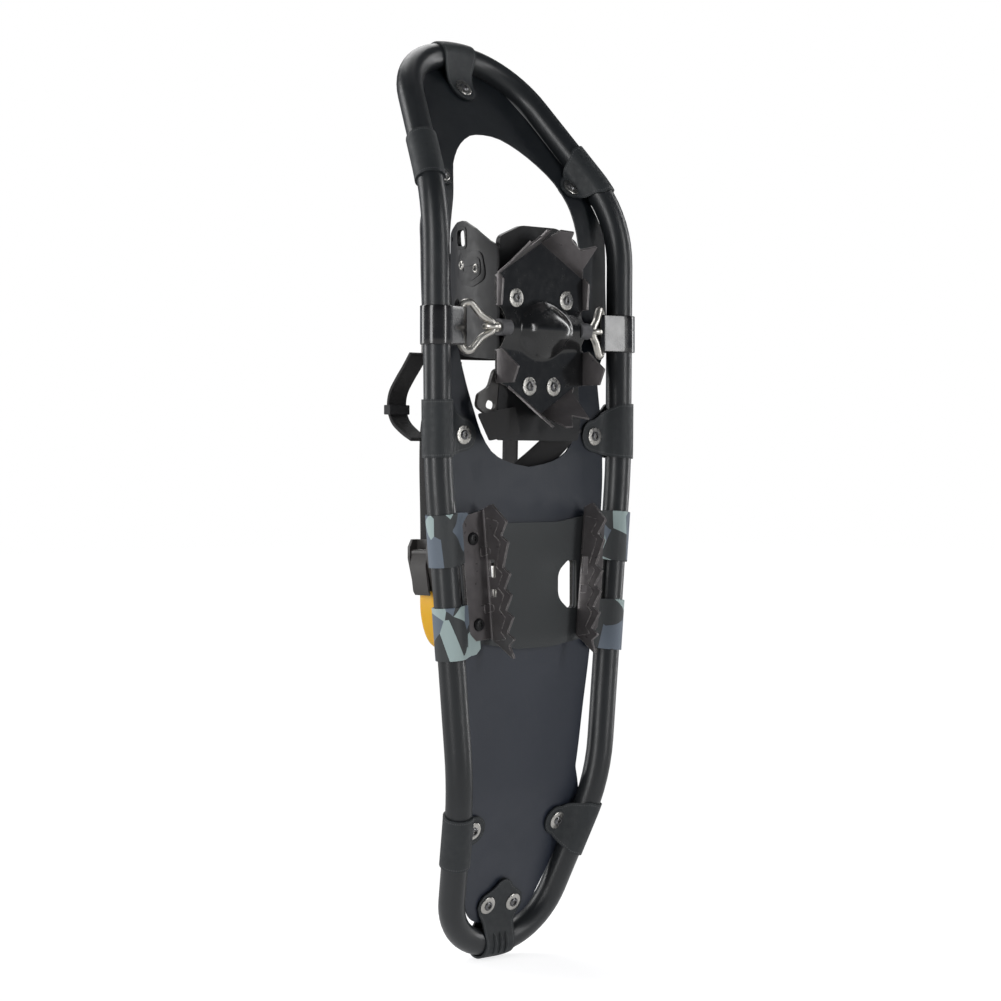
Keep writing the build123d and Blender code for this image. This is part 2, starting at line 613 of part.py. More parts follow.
parts["heel_webbing_right"] = heel_webbing(340) - parts["wing_right"]
parts["heel_webbing_left"] = mirrored(parts["heel_webbing_right"])
heel_loop = [(49.1, 356), (49.1, 328), (46, 286), (34, 262), (0, 252), (-34, 262), (-45, 284), (-46.2, 318)]
parts["heel_strap"] = extrude(Plane.XZ.offset(-84) * band(heel_loop, 3.4), amount=18)
HEEL_STRETCH = 1.6
HEEL_SPOT = Vector(-46.2, 75, 327)
heel_place = buckle_place(HEEL_SPOT, Vector(0, 0, -1), Vector(-1, 0, 0))
body, pin, lever = cam_buckle(18, heel_place, HEEL_STRETCH)
seat = Pos(-46.2, 75, 327) * Box(1.8, 18.4, 28 * HEEL_STRETCH)
parts["heel_buckle_body"] = body - parts["heel_strap"] - parts["heel_webbing_left"] - seat
parts["heel_buckle_pin"] = pin
parts["heel_buckle_lever"] = lever

os.makedirs("parts", exist_ok=True)
for name, shape in parts.items():
    export_step(Pos(0, -MID_DEPTH, 0) * shape, f"parts/{name}.step")
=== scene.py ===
import math

import bmesh
import bpy
from mathutils import Matrix, Vector


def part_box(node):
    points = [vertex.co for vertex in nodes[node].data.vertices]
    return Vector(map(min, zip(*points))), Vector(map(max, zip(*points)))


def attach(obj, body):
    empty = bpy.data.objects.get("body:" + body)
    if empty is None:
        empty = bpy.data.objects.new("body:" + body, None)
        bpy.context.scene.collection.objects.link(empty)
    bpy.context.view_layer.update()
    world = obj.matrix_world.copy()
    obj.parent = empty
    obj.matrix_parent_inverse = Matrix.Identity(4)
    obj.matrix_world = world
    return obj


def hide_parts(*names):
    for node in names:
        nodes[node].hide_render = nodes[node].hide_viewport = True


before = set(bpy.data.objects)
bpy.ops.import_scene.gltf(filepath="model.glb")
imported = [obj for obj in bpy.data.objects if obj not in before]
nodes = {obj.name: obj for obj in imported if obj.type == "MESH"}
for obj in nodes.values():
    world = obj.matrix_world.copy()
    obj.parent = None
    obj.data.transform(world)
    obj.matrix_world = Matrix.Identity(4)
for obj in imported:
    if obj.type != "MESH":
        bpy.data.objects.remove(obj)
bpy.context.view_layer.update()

# The part's own measures are in millimetres about the straight tubes' plane (depth 0) and the floor.
AXLE_DEPTH, AXLE_Z = -14.5, 522
axle_low, axle_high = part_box("toe_axle")
DEPTH_ZERO = (axle_low.y + axle_high.y) / 2 - AXLE_DEPTH / 1000


def at(x, y, z):
    return Vector((x / 1000, y / 1000 + DEPTH_ZERO, z / 1000))


# ---------------------------------------------------------------- camera, stage and lights
CAMERA_AZIMUTH, CAMERA_RANGE, CAMERA_HEIGHT = -44, 2100, 407
LENS, LENS_SHIFT = 91.9, -0.0305


def round_place(azimuth, reach, height):
    """A place round the object, in millimetres: azimuth 0 is on the crampon side, 90 on +X."""
    a = math.radians(azimuth)
    return at(reach * math.sin(a), -reach * math.cos(a), height)


def make_camera():
    data = bpy.data.cameras.new("camera")
    data.sensor_width = 36
    data.lens = LENS
    data.shift_x = data.shift_y = LENS_SHIFT
    data.clip_start, data.clip_end = 0.05, 50
    camera = bpy.data.objects.new("camera", data)
    camera.location = round_place(CAMERA_AZIMUTH, CAMERA_RANGE, CAMERA_HEIGHT)
    camera.rotation_euler = (math.radians(90), 0, math.radians(CAMERA_AZIMUTH))
    bpy.context.scene.collection.objects.link(camera)
    bpy.context.scene.camera = camera


def softbox(name, azimuth, reach, height, size, power, aim=400):
    data = bpy.data.lights.new(name, "AREA")
    data.shape = "RECTANGLE"
    data.size, data.size_y = size[0] / 1000, size[1] / 1000
    data.energy = power
    lamp = bpy.data.objects.new(name, data)
    lamp.location = round_place(azimuth, reach, height)
    to_object = at(0, 0, aim) - lamp.location
    lamp.rotation_euler = to_object.to_track_quat("-Z", "Y").to_euler()
    bpy.context.scene.collection.objects.link(lamp)


make_camera()
softbox("key_left", -80, 1500, 700, (380, 1700), 13)
softbox("strip_right", 18, 1700, 650, (240, 1700), 11)
softbox("edge_right", 78, 1500, 700, (300, 1700), 9)
softbox("back_left", -150, 1600, 900, (600, 1500), 12)
softbox("overhead", 150, 1200, 1900, (1200, 1200), 14)
bpy.context.scene.view_settings.view_transform = "Standard"


# ---------------------------------------------------------------- materials
class Nodes:
    """A node tree under construction."""

    def __init__(self, tree):
        self.tree = tree
        self.coord = self.node("ShaderNodeTexCoord")

    def node(self, kind, **values):
        made = self.tree.nodes.new(kind)
        for key, value in values.items():
            setattr(made, key, value)
        return made

    def link(self, source, target):
        self.tree.links.new(source, target)

    def put(self, socket, value):
        """Feeds a socket from another one, or with a constant."""
        if isinstance(value, bpy.types.NodeSocket):
            self.link(value, socket)
        else:
            socket.default_value = value

    def math(self, operation, a, b=0.0, c=0.0):
        made = self.node("ShaderNodeMath", operation=operation)
        for socket, value in zip(made.inputs, (a, b, c)):
            self.put(socket, value)
        return made.outputs[0]



class Shades(Nodes):
    """A material under construction, with the few steps that every surface here needs."""

    def __init__(self, name):
        self.material = bpy.data.materials.new(name)
        self.material.use_nodes = True
        super().__init__(self.material.node_tree)
        self.shader = self.tree.nodes["Principled BSDF"]
        self.height = None

    def noise(self, scale, detail=3.0, stretch=(1, 1, 1), source="Object"):
        mapping = self.node("ShaderNodeMapping")
        mapping.inputs["Scale"].default_value = stretch
        self.link(self.coord.outputs[source], mapping.inputs["Vector"])
        made = self.node("ShaderNodeTexNoise")
        made.inputs["Scale"].default_value = scale
        made.inputs["Detail"].default_value = detail
        self.link(mapping.outputs[0], made.inputs["Vector"])
        return made.outputs["Fac"]

    def cells(self, scale):
        made = self.node("ShaderNodeTexVoronoi")
        made.inputs["Scale"].default_value = scale
        self.link(self.coord.outputs["Object"], made.inputs["Vector"])
        return made.outputs["Distance"]

    def spread(self, value, low, high, start=0.3, end=0.7, **kind):
        made = self.node("ShaderNodeMapRange", **kind)
        self.put(made.inputs["Value"], value)
        made.inputs["From Min"].default_value = start
        made.inputs["From Max"].default_value = end
        made.inputs["To Min"].default_value = low
        made.inputs["To Max"].default_value = high
        return made.outputs[0]

    def blend(self, factor, first, second):
        made = self.node("ShaderNodeMix", data_type="RGBA")
        self.put(made.inputs["Factor"], factor)
        self.put(made.inputs[6], first if isinstance(first, bpy.types.NodeSocket) else (*first, 1))
        self.put(made.inputs[7], second if isinstance(second, bpy.types.NodeSocket) else (*second, 1))
        return made.outputs[2]

    def bump(self, value, strength, distance):
        made = self.node("ShaderNodeBump")
        made.inputs["Strength"].default_value = strength
        made.inputs["Distance"].default_value = distance / 1000
        self.put(made.inputs["Height"], value)
        if self.height:
            self.link(self.height, made.inputs["Normal"])
        self.height = made.outputs[0]
        self.link(self.height, self.shader.inputs["Normal"])

    def colour(self, value):
        self.put(self.shader.inputs["Base Color"],
            value if isinstance(value, bpy.types.NodeSocket) else (*value, 1))

    def rough(self, value):
        self.put(self.shader.inputs["Roughness"], value)

    def fixed(self, **values):
        for key, value in values.items():
            self.shader.inputs[key.replace("_", " ")].default_value = value

    def edges(self, radius, start=0.02, end=0.25):
        """1 along sharp outer edges, where a coat wears first."""
        soft = self.node("ShaderNodeBevel", samples=4)
        soft.inputs["Radius"].default_value = radius / 1000
        geometry = self.node("ShaderNodeNewGeometry")
        dot = self.node("ShaderNodeVectorMath", operation="DOT_PRODUCT")
        self.link(soft.outputs[0], dot.inputs[0])
        self.link(geometry.outputs["Normal"], dot.inputs[1])
        away = self.math("SUBTRACT", 1.0, dot.outputs["Value"])
        return self.spread(away, 0, 1, start, end)

    def strap_coordinates(self):
        """Millimetres along a strap and across it from its nearer edge, from its own UV map."""
        uv = self.node("ShaderNodeUVMap", uv_map="strap")
        split = self.node("ShaderNodeSeparateXYZ")
        self.link(uv.outputs[0], split.inputs[0])
        return self.math("MULTIPLY", split.outputs[0], 10), self.math("MULTIPLY", split.outputs[1], 10)


def plain_coat(name, colour, roughness, mottle=0.25, grain=900, grain_depth=0.03, spread=0.06, **fixed):
    """A moulded or coated surface: slow colour change, patchy gloss and fine grain."""
    s = Shades(name)
    lighter = tuple(min(1, c * (1 + mottle) + 0.002) for c in colour)
    darker = tuple(c * (1 - mottle) for c in colour)
    s.colour(s.blend(s.noise(38, 4), darker, lighter))
    s.rough(s.spread(s.noise(120, 4), roughness - spread, roughness + spread))
    s.bump(s.noise(grain, 2), 0.35, grain_depth)
    s.fixed(**fixed)
    return s


def metal(name, colour, roughness, wear=0.12):
    s = Shades(name)
    darker = tuple(c * 0.72 for c in colour)
    s.colour(s.blend(s.noise(260, 5), darker, colour))
    s.rough(s.spread(s.noise(500, 5), roughness - wear, roughness + wear))
    s.bump(s.noise(1500, 2), 0.2, 0.02)
    s.fixed(Metallic=1.0)
    return s


def make_world():
    """White to the camera. To everything else it is grey below and darker above."""
    world = bpy.data.worlds.new("studio")
    bpy.context.scene.world = world
    world.use_nodes = True
    world.node_tree.nodes.clear()
    n = Nodes(world.node_tree)
    seen, lit = n.node("ShaderNodeBackground"), n.node("ShaderNodeBackground")
    seen.inputs["Color"].default_value = (1, 1, 1, 1)
    split = n.node("ShaderNodeSeparateXYZ")
    n.link(n.coord.outputs["Generated"], split.inputs[0])
    ramp = n.node("ShaderNodeValToRGB")
    below, above = ramp.color_ramp.elements
    below.position, below.color = 0.42, (0.30, 0.32, 0.36, 1)
    above.position, above.color = 0.62, (0.055, 0.058, 0.064, 1)
    n.link(n.math("MULTIPLY_ADD", split.outputs["Z"], 0.5, 0.5), ramp.inputs[0])
    n.link(ramp.outputs["Color"], lit.inputs["Color"])
    path, mix = n.node("ShaderNodeLightPath"), n.node("ShaderNodeMixShader")
    out = n.node("ShaderNodeOutputWorld")
    n.link(path.outputs["Is Camera Ray"], mix.inputs[0])
    n.link(lit.outputs[0], mix.inputs[1])
    n.link(seen.outputs[0], mix.inputs[2])
    n.link(mix.outputs[0], out.inputs[0])


def make_floor():
    """White out to the horizon; near the shoe it is also lit, so that the tail's shadow shows."""
    mesh = bpy.data.meshes.new("floor")
    reach = 9.0
    corners = [(-reach, -reach, 0), (reach, -reach, 0), (reach, reach, 0), (-reach, reach, 0)]
    mesh.from_pydata(corners, [], [(0, 1, 2, 3)])
    floor = bpy.data.objects.new("floor", mesh)
    bpy.context.scene.collection.objects.link(floor)
    s = Shades("floor")
    s.fixed(Roughness=0.9, Specular_IOR_Level=0.0, Emission_Color=(1, 1, 1, 1))
    away = s.node("ShaderNodeVectorMath", operation="LENGTH")
    s.link(s.coord.outputs["Object"], away.inputs[0])
    near = s.spread(away.outputs["Value"], 1.0, 0.0, 0.10, 0.55, interpolation_type="SMOOTHSTEP")
    s.colour(s.blend(near, (0, 0, 0), (0.55, 0.55, 0.56)))
    path = s.node("ShaderNodeLightPath")
    dim = s.math("MULTIPLY_ADD", path.outputs["Is Camera Ray"], 0.48, 0.52)
    glow = s.spread(near, 1.02, 0.74, 0, 1)
    s.put(s.shader.inputs["Emission Strength"], s.math("MULTIPLY", glow, dim))
    mesh.materials.append(s.material)


make_world()
make_floor()
tube_coat = plain_coat("tube_coat", (0.0125, 0.0145, 0.0165), 0.36, 0.18, 1500, 0.025, 0.04,
    Specular_IOR_Level=0.55)
bare_alloy = metal("bare_alloy", (0.62, 0.62, 0.64), 0.35)
zinc = metal("zinc", (0.60, 0.585, 0.55), 0.3)
nickel = metal("nickel", (0.80, 0.775, 0.72), 0.36, 0.08)
moulded = plain_coat("moulded", (0.008, 0.008, 0.009), 0.42, 0.3, 700, 0.03, Specular_IOR_Level=0.32)
satin_plastic = plain_coat("satin_plastic", (0.045, 0.042, 0.04), 0.42, 0.2, 900, 0.03)
bushing_plastic = plain_coat("bushing_plastic", (0.085, 0.085, 0.09), 0.38, 0.2, 900, 0.03)
gloss_band = plain_coat("gloss_band", (0.005, 0.005, 0.006), 0.24, 0.3, 300, 0.015, 0.04, Coat_Weight=0.6,
    Coat_Roughness=0.06)
soft_foam = plain_coat("soft_foam", (0.02, 0.02, 0.022), 0.7, 0.3, 1100, 0.08)
heel_band = plain_coat("heel_band", (0.80, 0.43, 0.008), 0.4, 0.05, 600, 0.03, 0.05, Subsurface_Weight=0.15,
    Subsurface_Scale=0.003)


def make_deck_coat():
    """A coated sheet: the cloth under it shows as a fine weave, stronger in some places. Low down it is
    painted lighter and bluer, a painted sheen.
    """
    s = Shades("deck_coat")
    split = s.node("ShaderNodeSeparateXYZ")
    s.link(s.coord.outputs["Object"], split.inputs[0])
    across = s.math("SINE", s.math("MULTIPLY", split.outputs[0], 5200))
    along = s.math("SINE", s.math("MULTIPLY", split.outputs[2], 5200))
    weave = s.math("MULTIPLY", across, along)
    patches = s.spread(s.noise(9, 2), 0.25, 1.0, 0.42, 0.62)
    s.bump(s.math("MULTIPLY", weave, patches), 0.35, 0.05)
    s.bump(s.noise(30, 3, (1, 1, 0.35)), 0.25, 0.5)
    scuff = s.spread(s.noise(420, 6, (1, 1, 0.08)), 0, 0.35, 0.6, 0.75)
    # Painted sheen: the deck is coloured lighter and bluer low down, and darkens to the top's colour
    # between 0.30 m and 0.60 m up. This stands in for the light that the lower deck catches. The noise
    # between the two lower colours is random tone.
    low = s.blend(s.noise(14, 3), (0.0150, 0.0200, 0.0330), (0.0200, 0.0260, 0.0410))
    height = s.spread(split.outputs[2], 0, 1, 0.30, 0.60)
    base = s.blend(height, low, (0.0070, 0.0095, 0.0125))
    s.colour(s.blend(scuff, base, (0.03, 0.033, 0.04)))
    s.rough(s.spread(s.noise(60, 4), 0.36, 0.48))
    s.fixed(Specular_IOR_Level=0.6)
    return s


def make_clip_rubber():
    """Leather-grained rubber with a line of pressed dots inside its edges."""
    s = Shades("clip_rubber")
    along, rim = s.strap_coordinates()
    line = s.math("LESS_THAN", s.math("ABSOLUTE", s.math("SUBTRACT", rim, 2.0)), 0.45)
    dash = s.math("LESS_THAN", s.math("FRACT", s.math("MULTIPLY", along, 0.55)), 0.5)
    dots = s.math("MULTIPLY", line, dash)
    pebble = s.cells(900)
    base = s.blend(s.noise(60, 4), (0.0135, 0.0162, 0.0182), (0.0205, 0.0245, 0.027))
    s.colour(s.blend(s.math("MULTIPLY", dots, 0.6), base, (0.09, 0.092, 0.097)))
    s.bump(pebble, 0.5, 0.10)
    s.bump(dots, 0.5, 0.15)
    s.rough(s.spread(s.noise(200, 4), 0.5, 0.66))
    return s


def make_webbing(name, colour, pitch=1.1):
    """Flat woven webbing: ribs across the run, crossed by finer warp lines."""
    s = Shades(name)
    along, rim = s.strap_coordinates()
    ribs = s.math("SINE", s.math("MULTIPLY", along, 2 * math.pi / pitch))
    warp = s.math("SINE", s.math("MULTIPLY", rim, 2 * math.pi / (pitch * 0.8)))
    weave = s.math("MULTIPLY_ADD", s.math("MULTIPLY", ribs, warp), 0.5, 0.5)
    lighter = tuple(c * 2.1 + 0.006 for c in colour)
    fuzz = s.noise(1400, 4)
    s.colour(s.blend(s.math("MULTIPLY", weave, fuzz), colour, lighter))
    s.bump(weave, 0.7, 0.25)
    s.rough(0.78)
    s.fixed(Sheen_Weight=0.1, Sheen_Roughness=0.5)
    return s


def make_panel_cloth(name, printed):
    """Textured coated cloth. The printed one has flat slate, mint and charcoal facets."""
    s = Shades(name)
    fine = s.cells(1100)
    coarse = s.noise(520, 3)
    base = s.blend(coarse, (0.030, 0.034, 0.036), (0.052, 0.056, 0.058))
    if printed:
        facets = s.node("ShaderNodeTexVoronoi", feature="F1")
        facets.inputs["Scale"].default_value = 56
        facets.inputs["Randomness"].default_value = 0.9
        mapping = s.node("ShaderNodeMapping")
        mapping.inputs["Location"].default_value = (0.13, 0.02, 0.31)
        mapping.inputs["Scale"].default_value = (1, 1, 0.8)
        s.link(s.coord.outputs["Object"], mapping.inputs["Vector"])
        s.link(mapping.outputs[0], facets.inputs["Vector"])
        split = s.node("ShaderNodeSeparateColor")
        s.link(facets.outputs["Color"], split.inputs[0])
        mint = s.math("GREATER_THAN", split.outputs[0], 0.52)
        slate = s.math("GREATER_THAN", split.outputs[1], 0.68)
        base = s.blend(mint, base, (0.36, 0.45, 0.445))
        base = s.blend(slate, base, (0.135, 0.165, 0.205))
    s.colour(base)
    s.bump(fine, 0.45, 0.12)
    s.rough(s.spread(coarse, 0.55, 0.7))
    return s


def make_crampon_coat(name, colour, roughness, bare, **fixed):
    """Coated steel, worn to bare metal along its edges."""
    s = Shades(name)
    worn = s.math("MULTIPLY", s.edges(0.9), s.spread(s.noise(260, 5), 0, 1, 0.38, 0.6))
    base = s.blend(s.noise(70, 5), tuple(c * 0.7 for c in colour), tuple(c * 1.3 for c in colour))
    s.colour(s.blend(worn, base, bare))
    s.rough(s.spread(s.noise(160, 5), roughness - 0.06, roughness + 0.08))
    s.bump(s.noise(240, 4), 0.25, 0.08)
    s.fixed(**fixed)
    return s


deck_coat = make_deck_coat()
dark_steel = plain_coat("dark_steel", (0.16, 0.16, 0.165), 0.3, 0.3, 300, 0.02, 0.05, Metallic=0.85)
clip_rubber = make_clip_rubber()
webbing = make_webbing("webbing", (0.007, 0.0065, 0.007))
panel_cloth = make_panel_cloth("panel_cloth", False)
printed_cloth = make_panel_cloth("printed_cloth", True)
plate_coat = make_crampon_coat("plate_coat", (0.006, 0.0065, 0.007), 0.2, (0.30, 0.28, 0.26),
    Coat_Weight=0.5, Coat_Roughness=0.1)
tooth_coat = make_crampon_coat("tooth_coat", (0.122, 0.113, 0.115), 0.33, (0.55, 0.53, 0.51), Metallic=0.6)


# ---------------------------------------------------------------- mesh making
def new_object(name, vertices, faces, shades, body, angle=35):
    mesh = bpy.data.meshes.new(name)
    mesh.from_pydata([tuple(v) for v in vertices], [], faces)
    mesh.validate()
    made = bpy.data.objects.new(name, mesh)
    bpy.context.scene.collection.objects.link(made)
    for each in shades if isinstance(shades, (list, tuple)) else [shades]:
        mesh.materials.append(each.material)
    soften(made, angle)
    if body:
        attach(made, body)
    return made


def soften(piece, angle=35):
    """Smooth shading that keeps edges sharper than the angle."""
    piece.data.shade_smooth()
    piece.data.set_sharp_from_angle(angle=math.radians(angle))


def bevelled(piece, width, segments=2, angle=40):
    modifier = piece.modifiers.new("bevel", "BEVEL")
    modifier.width = width / 1000
    modifier.segments = segments
    modifier.limit_method = "ANGLE"
    modifier.angle_limit = math.radians(angle)
    modifier.harden_normals = False
    return piece


def bake(piece):
    """Applies a piece's modifiers, so it holds its final mesh."""
    graph = bpy.context.evaluated_depsgraph_get()
    mesh = bpy.data.meshes.new_from_object(piece.evaluated_get(graph))
    old = piece.data
    piece.modifiers.clear()
    piece.data = mesh
    if not old.users:
        bpy.data.meshes.remove(old)
    return piece


def carve(piece, cutter, operation="DIFFERENCE"):
    modifier = piece.modifiers.new("carve", "BOOLEAN")
    modifier.operation = operation
    modifier.solver = "EXACT"
    modifier.object = cutter
    bpy.context.view_layer.update()
    bake(piece)
    bpy.data.objects.remove(cutter)
    return piece


def prism(name, outline, thickness, place, shades, body=None):
    """An outline in the place's own X and Y, made solid from its plane up along its Z."""
    count = len(outline)
    area = sum(a[0] * b[1] - b[0] * a[1] for a, b in zip(outline, outline[1:] + outline[:1]))
    if area < 0:
        outline = outline[::-1]
    low = [place @ Vector((x, y, 0)) for x, y in outline]
    high = [place @ Vector((x, y, thickness)) for x, y in outline]
    faces = [tuple(range(count))[::-1], tuple(range(count, 2 * count))]
    for i in range(count):
        j = (i + 1) % count
        faces.append((i, j, count + j, count + i))
    made = new_object(name, low + high, faces, shades, body)
    if place.determinant() < 0:
        flip(made)
    return made


def flip(piece):
    mesh = bmesh.new()
    mesh.from_mesh(piece.data)
    bmesh.ops.reverse_faces(mesh, faces=mesh.faces)
    mesh.to_mesh(piece.data)
    mesh.free()


def mirrored(piece, name, body):
    """The piece's twin on the other side of the shoe."""
    mesh = piece.data.copy()
    mesh.transform(Matrix.Scale(-1, 4, (1, 0, 0)))
    mesh.flip_normals()
    made = bpy.data.objects.new(name, mesh)
    bpy.context.scene.collection.objects.link(made)
    for modifier in piece.modifiers:
        twin = made.modifiers.new(modifier.name, modifier.type)
        for key in ("width", "segments", "limit_method", "angle_limit", "levels", "render_levels",
                "thickness", "offset"):
            if hasattr(modifier, key):
                setattr(twin, key, getattr(modifier, key))
    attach(made, body)
    return made


def stands_for(node):
    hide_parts(node)


def both_hands(right, name, node, body):
    """A right-hand piece and its twin, each standing for its own side's node."""
    left = mirrored(right, name + "_left", body)
    stands_for(node + "_right")
    stands_for(node + "_left")


def frame_at(origin, x_axis, y_axis):
    """A place whose local axes are given, with millimetres as its unit."""
    x_axis = Vector(x_axis).normalized()
    z_axis = x_axis.cross(Vector(y_axis)).normalized()
    y_axis = z_axis.cross(x_axis)
    turn = Matrix((x_axis, y_axis, z_axis)).transposed().to_4x4()
    return Matrix.Translation(origin) @ turn @ Matrix.Scale(0.001, 4)


FRONT = frame_at(at(0, 0, 0), (1, 0, 0), (0, 0, 1))


def front_place(depth):
    """Outlines in X and height; solids grow from this depth towards the crampon side."""
    return Matrix.Translation((0, depth / 1000, 0)) @ FRONT


def side_place(x):
    """Outlines in depth and height; solids grow from this X towards +X."""
    return frame_at(at(x, 0, 0), (0, 1, 0), (0, 0, 1))


def rounded(corners, steps=6):
    """An outline with its corners rounded: (x, y, radius) corners."""
    points = [Vector(c[:2]) for c in corners]
    result = []
    for i, (corner, spec) in enumerate(zip(points, corners)):
        before, after = points[i - 1], points[(i + 1) % len(points)]
        radius = spec[2]
        a, b = (before - corner), (after - corner)
        half = a.angle(b) / 2
        if radius <= 0 or half > math.radians(89):
            result.append(tuple(corner))
            continue
        reach = min(radius / math.tan(half), 0.49 * a.length, 0.49 * b.length)
        first, last = corner + a.normalized() * reach, corner + b.normalized() * reach
        for step in range(steps + 1):
            t = step / steps
            mid = first.lerp(corner, t).lerp(corner.lerp(last, t), t)
            result.append(tuple(mid))
    return result


def both_sides(corners):
    """A symmetric outline from its right-hand corners, given from the bottom up."""
    left = [(-c[0], *c[1:]) for c in reversed(corners)]
    return corners + [c for c in left if c[0] != 0]


def through(points):
    """A smooth function through (at, value) points."""
    points = sorted(points)
    keys = [p[0] for p in points]

    def slope(i):
        low, high = max(i - 1, 0), min(i + 1, len(points) - 1)
        return (points[high][1] - points[low][1]) / (points[high][0] - points[low][0])

    def value(x):
        x = min(max(x, keys[0]), keys[-1])
        i = max(k for k in range(len(keys) - 1) if keys[k] <= x or k == 0)
        span = keys[i + 1] - keys[i]
        t = (x - keys[i]) / span
        a, b = points[i][1], points[i + 1][1]
        m, n = slope(i) * span, slope(i + 1) * span
        return (2 * t**3 - 3 * t**2 + 1) * a + (t**3 - 2 * t**2 + t) * m + (3 * t**2 - 2
            * t**3) * b + (t**3 - t**2) * n

    return value


def smooth_line(points, count):
    """Evenly spread points on a smooth line through the given ones."""
    points = [Vector(p) for p in points]
    lengths = [0.0]
    for a, b in zip(points, points[1:]):
        lengths.append(lengths[-1] + (b - a).length)
    axes = [through([(s, p[k]) for s, p in zip(lengths, points)]) for k in range(len(points[0]))]
    return [Vector([axis(lengths[-1] * i / (count - 1)) for axis in axes]) for i in range(count)]


def sheet_grid(name, rows, shades, body, thickness, closed=False, uv=None):
    """A skin from rows of points, thickened evenly. uv gives (along, from edge) in mm for each point."""
    wide = len(rows[0])
    vertices = [p for row in rows for p in row]
    faces = []
    spans = len(rows) if closed else len(rows) - 1
    for i in range(spans):
        j = (i + 1) % len(rows)
        for k in range(wide - 1):
            faces.append((i * wide + k, i * wide + k + 1, j * wide + k + 1, j * wide + k))
    made = new_object(name, vertices, faces, shades, body)
    if uv:
        layer = made.data.uv_layers.new(name="strap")
        for polygon in made.data.polygons:
            for loop in polygon.loop_indices:
                vertex = made.data.loops[loop].vertex_index
                along, rim = uv(vertex // wide, vertex % wide)
                layer.data[loop].uv = (along / 10, rim / 10)
    if thickness:
        modifier = made.modifiers.new("thickness", "SOLIDIFY")
        modifier.thickness = thickness / 1000
        modifier.offset = 0
        modifier.use_even_offset = True
    return made


def strap(name, line, across, width, thickness, shades, body, closed=False, columns=5, round_edge=0.35):
    """A flat strap along a line of places, its width along one direction at each place."""
    rows, along = [], [0.0]
    for i, place in enumerate(line):
        side = across[i] if isinstance(across, list) else Vector(across)
        if i:
            along.append(along[-1] + (place - line[i - 1]).length * 1000)
        row = []
        for k in range(columns):
            t = k / (columns - 1) - 0.5
            row.append(place + side * (t * width / 1000))
        rows.append(row)

    def uv(i, k):
        t = k / (columns - 1)
        return along[i], min(t, 1 - t) * width

    made = sheet_grid(name, rows, shades, body, thickness, closed, uv)
    return bevelled(made, round_edge, 2, 50)


# ---------------------------------------------------------------- the tube's route and what wraps it
class Route:
    """The frame tube's centre line, measured along its length."""

    def __init__(self, corners, radii):
        points = [corners[0]]
        for before, corner, after, radius in zip(corners, corners[1:], corners[2:], radii):
            a, b = (before - corner).normalized(), (after - corner).normalized()
            half = a.angle(b) / 2
            first = corner + a * radius / math.tan(half)
            last = corner + b * radius / math.tan(half)
            centre = corner + (a + b).normalized() * radius / math.sin(half)
            axis = (first - centre).cross(last - centre).normalized()
            turn = math.pi - 2 * half
            steps = max(6, int(math.degrees(turn) / 2))
            for step in range(steps + 1):
                rotation = Matrix.Rotation(turn * step / steps, 3, axis)
                points.append(centre + rotation @ (first - centre))
        points.append(corners[-1])
        self.points = points
        self.lengths = [0.0]
        for a, b in zip(points, points[1:]):
            self.lengths.append(self.lengths[-1] + (b - a).length)

    def place(self, length):
        for i in range(1, len(self.points)):
            if self.lengths[i] >= length or i == len(self.points) - 1:
                a, b = self.points[i - 1], self.points[i]
                t = (length - self.lengths[i - 1]) / (self.lengths[i] - self.lengths[i - 1])
                return a.lerp(b, t), (b - a).normalized()

    def find(self, height):
        """How far along the right-hand side this height is."""
        for i in range(1, len(self.points)):
            if self.points[i].z >= height > self.points[i - 1].z:
                a, b = self.points[i - 1], self.points[i]
                span = self.lengths[i] - self.lengths[i - 1]
                return self.lengths[i - 1] + span * (height - a.z) / (b.z - a.z)


TAIL_DEPTH, TAIL_Z, NOSE_DEPTH, NOSE_Z = 48.5, 13.6, 98.7, 757.7
TAIL_BEND, SIDE_LOW, SIDE_MID, SIDE_HIGH = (48.3, TAIL_DEPTH, TAIL_Z), (78.3, 0, 149), (102.9, 0,
    410), (105, 0, 621)
NOSE_BEND = (56, NOSE_DEPTH, NOSE_Z)
RIGHT = [(0, TAIL_DEPTH, TAIL_Z), TAIL_BEND, SIDE_LOW, SIDE_MID, SIDE_HIGH, NOSE_BEND]
RADII = [56, 180, 500, 115, 72]
corners = [Vector(c) for c in RIGHT] + [Vector((-x, y, z)) for x, y,
    z in reversed(RIGHT[1:])] + [Vector(RIGHT[0])]
route = Route(corners, RADII + RADII[::-1])
HALF = route.lengths[-1] / 2


def section_line(radius, seat, gap, flat_from, end, tab_steps=9):
    """A strap's section round the tube, from its front tab end to its back one, in (inboard, up)."""
    front, back = seat - gap, seat + gap
    near = Vector((flat_from, front))
    far = Vector((flat_from, back))
    first = math.atan2(near.y, near.x) - math.acos(min(1, radius / near.length))
    last = math.atan2(far.y, far.x) + math.acos(min(1, radius / far.length))
    points = []
    for step in range(tab_steps):
        t = math.sin(math.pi / 2 * (1 - step / tab_steps))
        points.append(Vector((flat_from + (end - flat_from) * t, front)))
    points.append(near)
    steps = 30
    turn = 2 * math.pi - (last - first)
    for step in range(steps + 1):
        angle = first - turn * step / steps
        points.append(Vector((radius * math.cos(angle), radius * math.sin(angle))))
    points.append(far)
    for step in range(1, tab_steps + 1):
        t = math.sin(math.pi / 2 * step / tab_steps)
        points.append(Vector((flat_from + (end - flat_from) * t, back)))
    for _ in range(2):
        points = [points[0]] + [(a + 2 * b + c) / 4 for a, b,
            c in zip(points, points[1:], points[2:])] + [points[-1]]
    return points


